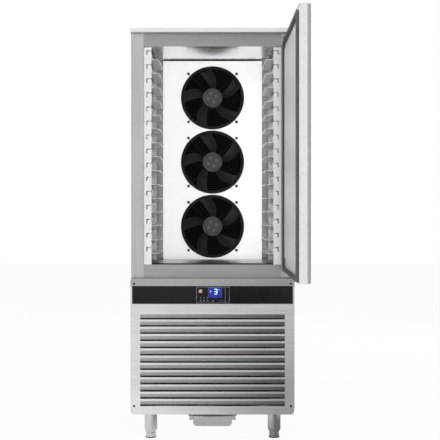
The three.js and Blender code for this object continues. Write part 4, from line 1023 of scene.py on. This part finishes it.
def impeller(node, body, blades, hub, depth, span, turn=0, radius=None, side=1.0):
    """Hub with rounded shoulders and broad swept blades of even thickness; angles in degrees."""
    place, half = middle(node), (high(node).y - low(node).y) / 2
    radius = radius or (high(node).z - low(node).z) / 2
    along, across = BLADE_FACES

    def blade_point(start, chord, reach):
        distance = hub - 0.003 + reach * (radius - hub + 0.003)
        width = math.radians(span) * (0.78 + 0.22 * math.sin(math.pi * min(reach * 1.15, 1.0)))
        angle = start + BLADE_SWEEP * reach ** 1.4 + (chord - 0.5) * width
        camber = BLADE_CAMBER * math.sin(math.pi * chord)
        y = depth * (chord - 0.5) * (1.0 - 0.25 * reach) + camber
        x, z = distance * math.cos(angle), distance * math.sin(angle)
        return place + Vector((x, side * y, side * z))

    def draw_blades(shape):
        for start in round_angles(blades, math.radians(turn)):
            grid = [
                [shape.verts.new(blade_point(start, c / along, r / across))
                 for r in range(across + 1)]
                for c in range(along + 1)
            ]
            for row, after in zip(grid, grid[1:]):
                for r in range(across):
                    shape.faces.new((row[r], after[r], after[r + 1], row[r + 1]))

    def draw_hub(shape):
        shoulder = [
            (hub, half - 0.005), (hub - 0.002, half - 0.0015), (hub - 0.006, half), (0.0075, half),
        ]
        front = [(ring, -station) for ring, station in reversed(shoulder)]
        turned(shape, front + shoulder, place, axis="Y")
        face = place + Vector((0.0, half, 0.0))
        for angle in round_angles(blades, math.pi / blades):
            swept(shape, [face + spoke(angle) * reach for reach in (0.012, hub - 0.008)], 0.0018, 6)

    vanes = mesh_piece(f"{node}_blades", draw_blades)
    modified(vanes, "SOLIDIFY", thickness=BLADE_WALL, offset=0.0)
    bevelled(vanes, 0.0008)
    finished(vanes, "impeller black", "impeller_black", node, body=body)
    built(f"{node}_hub", draw_hub, "hub grey", "impeller_black", body=body)


def door_gasket():
    """Bellows with a magnet lip, drawn shut and turned open about the pin with the door."""
    lowest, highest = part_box("door_gasket")
    width = 0.018
    depth = highest.x - lowest.x
    half = (highest.y - lowest.y) / 2
    centre_x = DOOR_PIN.x + (lowest.y + highest.y) / 2 - DOOR_PIN.y
    back = DOOR_PIN.x + DOOR_PIN.y - highest.x
    wall = [(0.002, 0.0), (0.002, 0.25), (0.0, 0.38), (0.002, 0.52), (0.0005, 0.66), (0.0, 0.82),
            (0.0012, 0.95), (0.003, 1.0)]
    inner = [(inset, back + share * depth) for inset, share in wall]
    profile = inner + [(width - inset, y) for inset, y in reversed(inner)]
    opened = (
        Matrix.Translation(DOOR_PIN) @ Matrix.Rotation(math.radians(90), 4, "Z")
        @ Matrix.Translation(-DOOR_PIN)
    )

    def bellows(shape):
        mitred_ring(shape, profile, (centre_x - half, centre_x + half, lowest.z, highest.z))
        bmesh.ops.transform(shape, matrix=opened, verts=shape.verts)

    built("door_gasket_bellows", bellows, "gasket grey", "gasket_grey", "door_gasket", body="door")


def build_door(sizes):
    edge = sizes.sheet_edge
    softened("door_skin", "door steel", "stainless_front", edge, body="door")
    softened("door_handle", "grip aluminium", "handle_grey", edge, 3, body="door")
    softened("door_liner", "door liner steel", "stainless_liner", sizes.fold_edge, 3, body="door")
    for node in ("hinge_top", "hinge_bottom"):
        softened(node, "side steel", "stainless_side", edge)
    door_gasket()


def panel_pan(fold):
    """Folded pan with rounded corners and one window that the louvres fill; its strip above the
    fascia is painted darker as shade.
    """
    lowest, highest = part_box("front_panel")
    bounds = (lowest.x, highest.x, lowest.z, highest.z)
    window = (-LOUVRE_HALF, LOUVRE_HALF, LOUVRE_FOOT, LOUVRE_TOP)
    y0, y1 = lowest.y, highest.y
    loops = [corner_loop(window, 0.0, 0.0, y0)]
    for angle in (math.radians(18 * step) for step in range(6)):
        inset, y = fold * (1 - math.sin(angle)), y0 + fold * (1 - math.cos(angle))
        loops.append(corner_loop(bounds, inset, PANEL_CORNER, y))
    loops.append(corner_loop(bounds, 0.0, PANEL_CORNER, y1))
    for y in (y1, y0 + SHEET):
        loops.append(corner_loop(bounds, SHEET, PANEL_CORNER - SHEET, y))
    loops.append(corner_loop(window, 0.0, 0.0, y0 + SHEET))
    level = high("control_fascia").z - 0.002

    def sheet(shape):
        skin(shape, loops, joined=True)
        bmesh.ops.bisect_plane(
            shape, geom=[*shape.verts, *shape.edges, *shape.faces],
            plane_co=(0.0, 0.0, level), plane_no=(0.0, 0.0, 1.0),
        )
        # faces above the fascia take the darker copy of the front steel, painted shade
        for face in shape.faces:
            face.material_index = int(face.calc_center_median().z > level)

    steels = ("front steel", "strip steel")
    built("front_panel_pan", sheet, steels, "stainless_front", "front_panel")


def panel_louvres():
    """One pressed strip and one blade, as (y, z) outlines, repeated down the window."""
    rise = LOUVRE_PITCH - LOUVRE_SLOT
    bend = Vector((0.0, LOUVRE_BEND))
    tip = Vector((LOUVRE_DEPTH, LOUVRE_GAP - LOUVRE_SLOT))
    slope = tip.normalized()
    across = Vector((slope.y, -slope.x)) * SHEET
    start = slope * LOUVRE_BEND
    rear_bend = (SHEET, LOUVRE_BEND)
    strip = [(0.0, rise), bend, rear_bend, (SHEET, rise)]
    blade = [bend, (start + bend) * 0.3, start, tip, tip - across, start - across, rear_bend]
    top = LOUVRE_TOP - rise
    points = [(0.0, PANEL_Y, top - index * LOUVRE_PITCH) for index in range(LOUVRE_COUNT)]
    # the blades take the darker copy of the front steel, painted shade
    rows = (("louvre_strips", strip, "front steel"), ("louvre_blades", blade, "blade steel"))
    for name, outline, steel in rows:
        def profile(shape):
            ends = (-LOUVRE_HALF, LOUVRE_HALF)
            skin(shape, [[Vector((x, y, z)) for y, z in outline] for x in ends])

        repeated(name, profile, points, steel, "stainless_front", "front_panel",
                 angle=PATTERN_ANGLE)


def build_front_panel(sizes):
    panel_pan(sizes.fold_edge)
    panel_louvres()
    points = [
        (x, PANEL_Y, z) for x in (-PANEL_SCREW_HALF, PANEL_SCREW_HALF) for z in PANEL_SCREW_LEVELS
    ]
    screws("panel_screws", points, sizes.screw_head, "screw black")


def control_key(node, materials, slot, radius, edge):
    """Key with a round paler centre that moves with it."""
    body = f"{node}_button"
    softened(node, materials[0], slot, edge, 3, body=body)
    cap = [(radius - 0.0004, -0.0003), (radius, 0.0), (radius, 0.0004)]
    lathe(f"{node}_cap", cap, front_middle(node), 28, materials[1], slot, body)


def printed_lines():
    """Thin printed line around the controller and the small dots beside its keys."""
    bottom, top = low("control_fascia").z + 0.004, high("control_fascia").z - 0.004
    front, back = FASCIA_Y - PRINT_PROUD, FASCIA_Y + PRINT_PROUD
    profile = [(0.0, front), (PRINT_LINE, front), (PRINT_LINE, back), (0.0, back)]
    keys = [middle(name) for name in KEYS]
    dots = [(key.x, key.z + 0.0143, 0.0022) for key in keys]
    dots += [(x, keys[0].z, radius) for x, radius in PRINT_DOTS]

    def lines(shape):
        mitred_ring(shape, profile, (PRINT_LEFT, PRINT_RIGHT, bottom, top))
        block(shape, (PRINT_DIVIDE, front, bottom), (PRINT_DIVIDE + PRINT_LINE, back, top))
        for x, z, radius in dots:
            dot = [(radius, -PRINT_PROUD), (radius, PRINT_PROUD)]
            turned(shape, dot, Vector((x, FASCIA_Y, z)), 16, "Y")

    built("fascia_print", lines, "mark grey", "key_grey")


def display_marks():
    """Seven-segment three, frost star and degree ring on the display."""
    place = front_middle("display_window")
    figure = place + Vector((0.003, 0.0, 0.004))
    upright = (FIGURE_STROKE, FIGURE_TALL - 0.001)
    flat = (FIGURE_WIDE - 0.001, FIGURE_STROKE)
    bars = [(0.0, share * FIGURE_TALL, *flat) for share in (1, 0, -1)]
    bars += [(FIGURE_WIDE / 2, share * FIGURE_TALL / 2, *upright) for share in (1, -1)]

    def marks(shape):
        for x, z, width, height in bars:
            half = Vector((width / 2, MARK_PROUD, height / 2))
            centre = figure + Vector((x, 0.0, z))
            block(shape, centre - half, centre + half)
        star = place + Vector((-0.021, 0.0, 0.004))
        for turn in range(3):
            across = spoke(math.radians(60 * turn)) * 0.0042
            swept(shape, [star - across, star + across], 0.0006, 6)
        ring = [(0.0022, -MARK_PROUD), (0.0022, MARK_PROUD)]
        ring += [(0.0014, MARK_PROUD), (0.0014, -MARK_PROUD)]
        turned(shape, ring, place + Vector((0.019, 0.0, 0.012)), 18, "Y", joined=True)

    built("display_marks", marks, "display mark", "display_blue")


def build_controls(sizes):
    edge = sizes.sheet_edge
    softened("control_fascia", "fascia black", "fascia_black", edge)
    softened("display_window", "display film", "display_blue", edge)
    control_key("power_key", ("key brown", "key beige"), "key_beige", 0.0082, edge)
    for name in KEYS:
        control_key(name, ("key black", "mark grey"), "key_grey", 0.0026, edge)
    printed_lines()
    display_marks()


def leg_sleeve(node):
    """Tube with a narrower end and a bore for the foot's stem."""
    bottom, top = low(node).z, high(node).z
    radius = half_width(node)
    neck, bore = radius - 0.0035, 0.009
    profile = [
        (bore, top - 0.006), (bore, bottom), (neck - 0.0015, bottom), (neck, bottom + 0.0015),
        (radius - 0.0008, bottom + 0.009), (radius, bottom + 0.011), (radius, top - 0.0012),
        (radius - 0.0012, top), (bore, top),
    ]
    turned_piece(f"{node}_tube", profile, 56, "leg steel", node)


def leg_foot(node, body):
    """Rubber pad, grooved shank and threaded stem."""
    bottom, top = low(node).z, high(node).z
    shank = half_width(node) - 0.0025
    shoulder = low(node.replace("foot", "sleeve")).z - 0.0003
    stem, pitch, groove = 0.0084, 0.0018, 0.0007
    profile = [
        (shank - 0.002, bottom), *arc((shank, 0.0025), 0.0025, -90, 90, 6), (shank, 0.0062),
        (shank, shoulder - 0.008), (shank - 0.0015, shoulder - 0.0065), (shank, shoulder - 0.005),
        (shank, shoulder - 0.001), (shank - 0.001, shoulder), (stem, shoulder),
    ]
    level = shoulder + 0.001
    while level < top - 0.003:
        profile += [(stem, level), (stem - groove, level + pitch / 2)]
        level += pitch
    profile.append((stem - 0.001, top))
    steels = ("leg steel", "threshold black")
    turned_piece(f"{node}_turned", profile, 48, steels, node, body, bottom + 0.0055)


def turned_piece(name, profile, steps, materials, node, body="cabinet", pad=0.0):
    """Lathe piece on the node's axis; up to the pad's height it has the second material."""
    centre = Vector((middle(node).x, middle(node).y, 0.0))

    def lathe(shape):
        turned(shape, profile, centre, steps)
        for face in shape.faces:
            face.material_index = int(face.calc_center_median().z < pad)

    built(name, lathe, materials, "stainless_leg", node, body=body)


def build_legs(_sizes):
    for place in LEG_PLACES:
        leg_sleeve(f"leg_sleeve_{place}")
        leg_foot(f"leg_foot_{place}", f"foot_{place}")


def rail_ends():
    """Flat ends of the two rails and a dark strip over them, painted shadow of the gap under the
    cabinet, outside the path of the tray.
    """
    lowest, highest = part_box("tray_carrier")
    inner = high("drip_tray").x - TRAY_RIM + TRAY_PLAY
    outer = highest.x - CARRIER_EDGE
    under, over = lowest.z + RAIL_FOOT, highest.z - RAIL_DROP
    front, back = lowest.y, lowest.y + SHEET
    ends = [
        ((side * inner, front, under), (side * outer, back, over - 0.0002)) for side in (-1, 1)
    ]
    # the dark strip is painted shadow of the gap under the cabinet's bottom
    strip = ((-highest.x, front, over), (highest.x, back, highest.z - SHADOW_STRIP_DROP))
    boxes("tray_rail_ends", ends, "tray grey", "rail_grey", 0.0003)
    boxes("tray_rail_strip", [strip], "motor grey", "rail_grey", 0.0003)


def build_drip_tray(sizes):
    softened("tray_carrier", "rail zinc", "rail_grey", sizes.sheet_edge)
    rail_ends()
    softened("drip_tray", "tray grey", "tray_plastic", sizes.sheet_edge, 3, body="tray")


def condenser(sizes):
    node = "condenser_coil"
    corner = low(node) + Vector((0.004, 0.0, 0.030))
    opposite = high(node) - Vector((0.004, 0.0, 0.0))
    fin_stack(node, corner, opposite, sizes, "fin aluminium")
    coil_tubes(node, corner, opposite, 14, "copper")


def evaporator(sizes):
    """Coil and tubes near-black, with a near-black sheet behind them, as painted shade of the
    plenum; the sheet reaches over the view through the fans.
    """
    node = "evaporator_coil"
    corner = Vector((-0.235, low(node).y + 0.004, low(node).z + 0.010))
    opposite = Vector((0.235, corner.y + 0.066, high(node).z - 0.010))
    fin_stack(node, corner, opposite, sizes, "fin coating")

    # dark sheet put where the plenum is in shade: painted shade
    def back(shape):
        rear, bottom = opposite.y, low("fan_guard_bottom").z - 0.012
        front_corner = (corner.x, rear - 0.0012, bottom)
        block(shape, front_corner, (opposite.x, rear - 0.0002, opposite.z + 0.045))

    built(f"{node}_back", back, "fin coating", "fin_aluminium", edge=0.0003)
    coil_tubes(node, corner, opposite, 24, "fin coating")


def fin_stack(node, corner, opposite, sizes, finish):
    """Fins between two end plates."""
    fins = grown(
        f"{node}_fins", "Fin stack", finish, Corner=corner, Size=opposite - corner,
        Pitch=sizes.fin_pitch, Sheet=sizes.fin_sheet,
    )
    finished(fins, (), "fin_aluminium", node)
    lowest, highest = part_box(node)

    def plates(shape):
        for x in (corner.x - 0.004, opposite.x):
            block(shape, (x, lowest.y, lowest.z), (x + 0.004, highest.y, highest.z))

    built(f"{node}_plates", plates, "zinc sheet", "fin_aluminium", edge=0.0006)


def coil_tubes(node, corner, opposite, rows, finish):
    """Two rows of tubes that run through the fins and the end plates."""
    step = (opposite.z - corner.z) / rows

    def run(shape):
        for row in range(rows):
            z = corner.z + (row + 0.5) * step
            for y in (corner.y + 0.016, opposite.y - 0.016):
                swept(shape, [(corner.x - 0.006, y, z), (opposite.x + 0.006, y, z)], 0.0045)

    built(f"{node}_tubes", run, finish, "copper")


def build_machine_room(sizes):
    condenser(sizes)
    evaporator(sizes)
    softened("condenser_shroud", "zinc sheet", "zinc_sheet", sizes.sheet_edge)
    softened("condenser_motor", "motor grey", "motor_grey", sizes.sheet_edge)
    impeller("condenser_impeller", "condenser_fan", 4, hub=0.040, depth=0.032, span=62,
             radius=0.170, side=-1.0)
    for node in ("compressor", "liquid_receiver"):
        softened(node, "compressor black", "compressor_black", sizes.fold_edge, 3)
    softened("electrical_box", "zinc sheet", "zinc_sheet", sizes.fold_edge, 3)
    softened("discharge_pipe", "copper", "copper", sizes.sheet_edge)


# ---------- operators ----------


class Step:
    """Operator that builds one group of pieces."""

    def execute(self, context):
        self.build(context.scene.chiller_sizes)
        return {"FINISHED"}


class CHILLER_OT_stage(Step, bpy.types.Operator):
    """Camera, floor, world and studio lights"""

    bl_idname = "chiller.stage"
    bl_label = "Stage"
    build = staticmethod(build_stage)


class CHILLER_OT_cabinet(Step, bpy.types.Operator):
    """Outer sheets, liner and base of the cabinet"""

    bl_idname = "chiller.cabinet"
    bl_label = "Cabinet"
    build = staticmethod(build_cabinet)


class CHILLER_OT_fans(Step, bpy.types.Operator):
    """Wire guards, motors and impellers of the three evaporator fans"""

    bl_idname = "chiller.fans"
    bl_label = "Fans"
    build = staticmethod(build_fans)


class CHILLER_OT_door(Step, bpy.types.Operator):
    """Door skin, grip, inner liner, bellows gasket and hinges"""

    bl_idname = "chiller.door"
    bl_label = "Door"
    build = staticmethod(build_door)


class CHILLER_OT_front_panel(Step, bpy.types.Operator):
    """Louvred front panel with its screws"""

    bl_idname = "chiller.front_panel"
    bl_label = "Front panel"
    build = staticmethod(build_front_panel)


class CHILLER_OT_controls(Step, bpy.types.Operator):
    """Control fascia, lit display and keys"""

    bl_idname = "chiller.controls"
    bl_label = "Controls"
    build = staticmethod(build_controls)


class CHILLER_OT_legs(Step, bpy.types.Operator):
    """Leg sleeves and adjustable feet"""

    bl_idname = "chiller.legs"
    bl_label = "Legs"
    build = staticmethod(build_legs)


class CHILLER_OT_drip_tray(Step, bpy.types.Operator):
    """Drip tray and the rails that it hangs in"""

    bl_idname = "chiller.drip_tray"
    bl_label = "Drip tray"
    build = staticmethod(build_drip_tray)


class CHILLER_OT_machine_room(Step, bpy.types.Operator):
    """Heat exchangers, compressor and the rest of the refrigeration unit"""

    bl_idname = "chiller.machine_room"
    bl_label = "Machine compartment"
    build = staticmethod(build_machine_room)


class CHILLER_PT_panel(bpy.types.Panel):
    """Lists the sizes, the colours and the building steps"""

    bl_idname = "CHILLER_PT_panel"
    bl_label = "Blast chiller"
    bl_space_type = "VIEW_3D"
    bl_region_type = "UI"
    bl_category = "Chiller"

    def draw(self, context):
        layout = self.layout
        for group in (context.scene.chiller_sizes, context.scene.chiller_colours):
            column = layout.column()
            for name in group.bl_rna.properties.keys():
                if name not in ("rna_type", "name"):
                    column.prop(group, name)
        for operator in OPERATORS:
            layout.operator(operator.bl_idname)


OPERATORS = (
    CHILLER_OT_stage,
    CHILLER_OT_cabinet,
    CHILLER_OT_fans,
    CHILLER_OT_door,
    CHILLER_OT_front_panel,
    CHILLER_OT_controls,
    CHILLER_OT_legs,
    CHILLER_OT_drip_tray,
    CHILLER_OT_machine_room,
)
CLASSES = (ChillerSizes, ChillerColours, *OPERATORS, CHILLER_PT_panel)


def register():
    for cls in CLASSES:
        bpy.utils.register_class(cls)
    bpy.types.Scene.chiller_sizes = bpy.props.PointerProperty(type=ChillerSizes)
    bpy.types.Scene.chiller_colours = bpy.props.PointerProperty(type=ChillerColours)


def unregister():
    del bpy.types.Scene.chiller_colours
    del bpy.types.Scene.chiller_sizes
    for cls in reversed(CLASSES):
        bpy.utils.unregister_class(cls)


def main():
    register()
    build_shader_groups()
    build_materials()
    build_ring_tree()
    build_copy_tree()
    build_fin_tree()
    for operator in OPERATORS:
        group, name = operator.bl_idname.split(".")
        getattr(getattr(bpy.ops, group), name)()


if __name__ == "__main__":
    main()
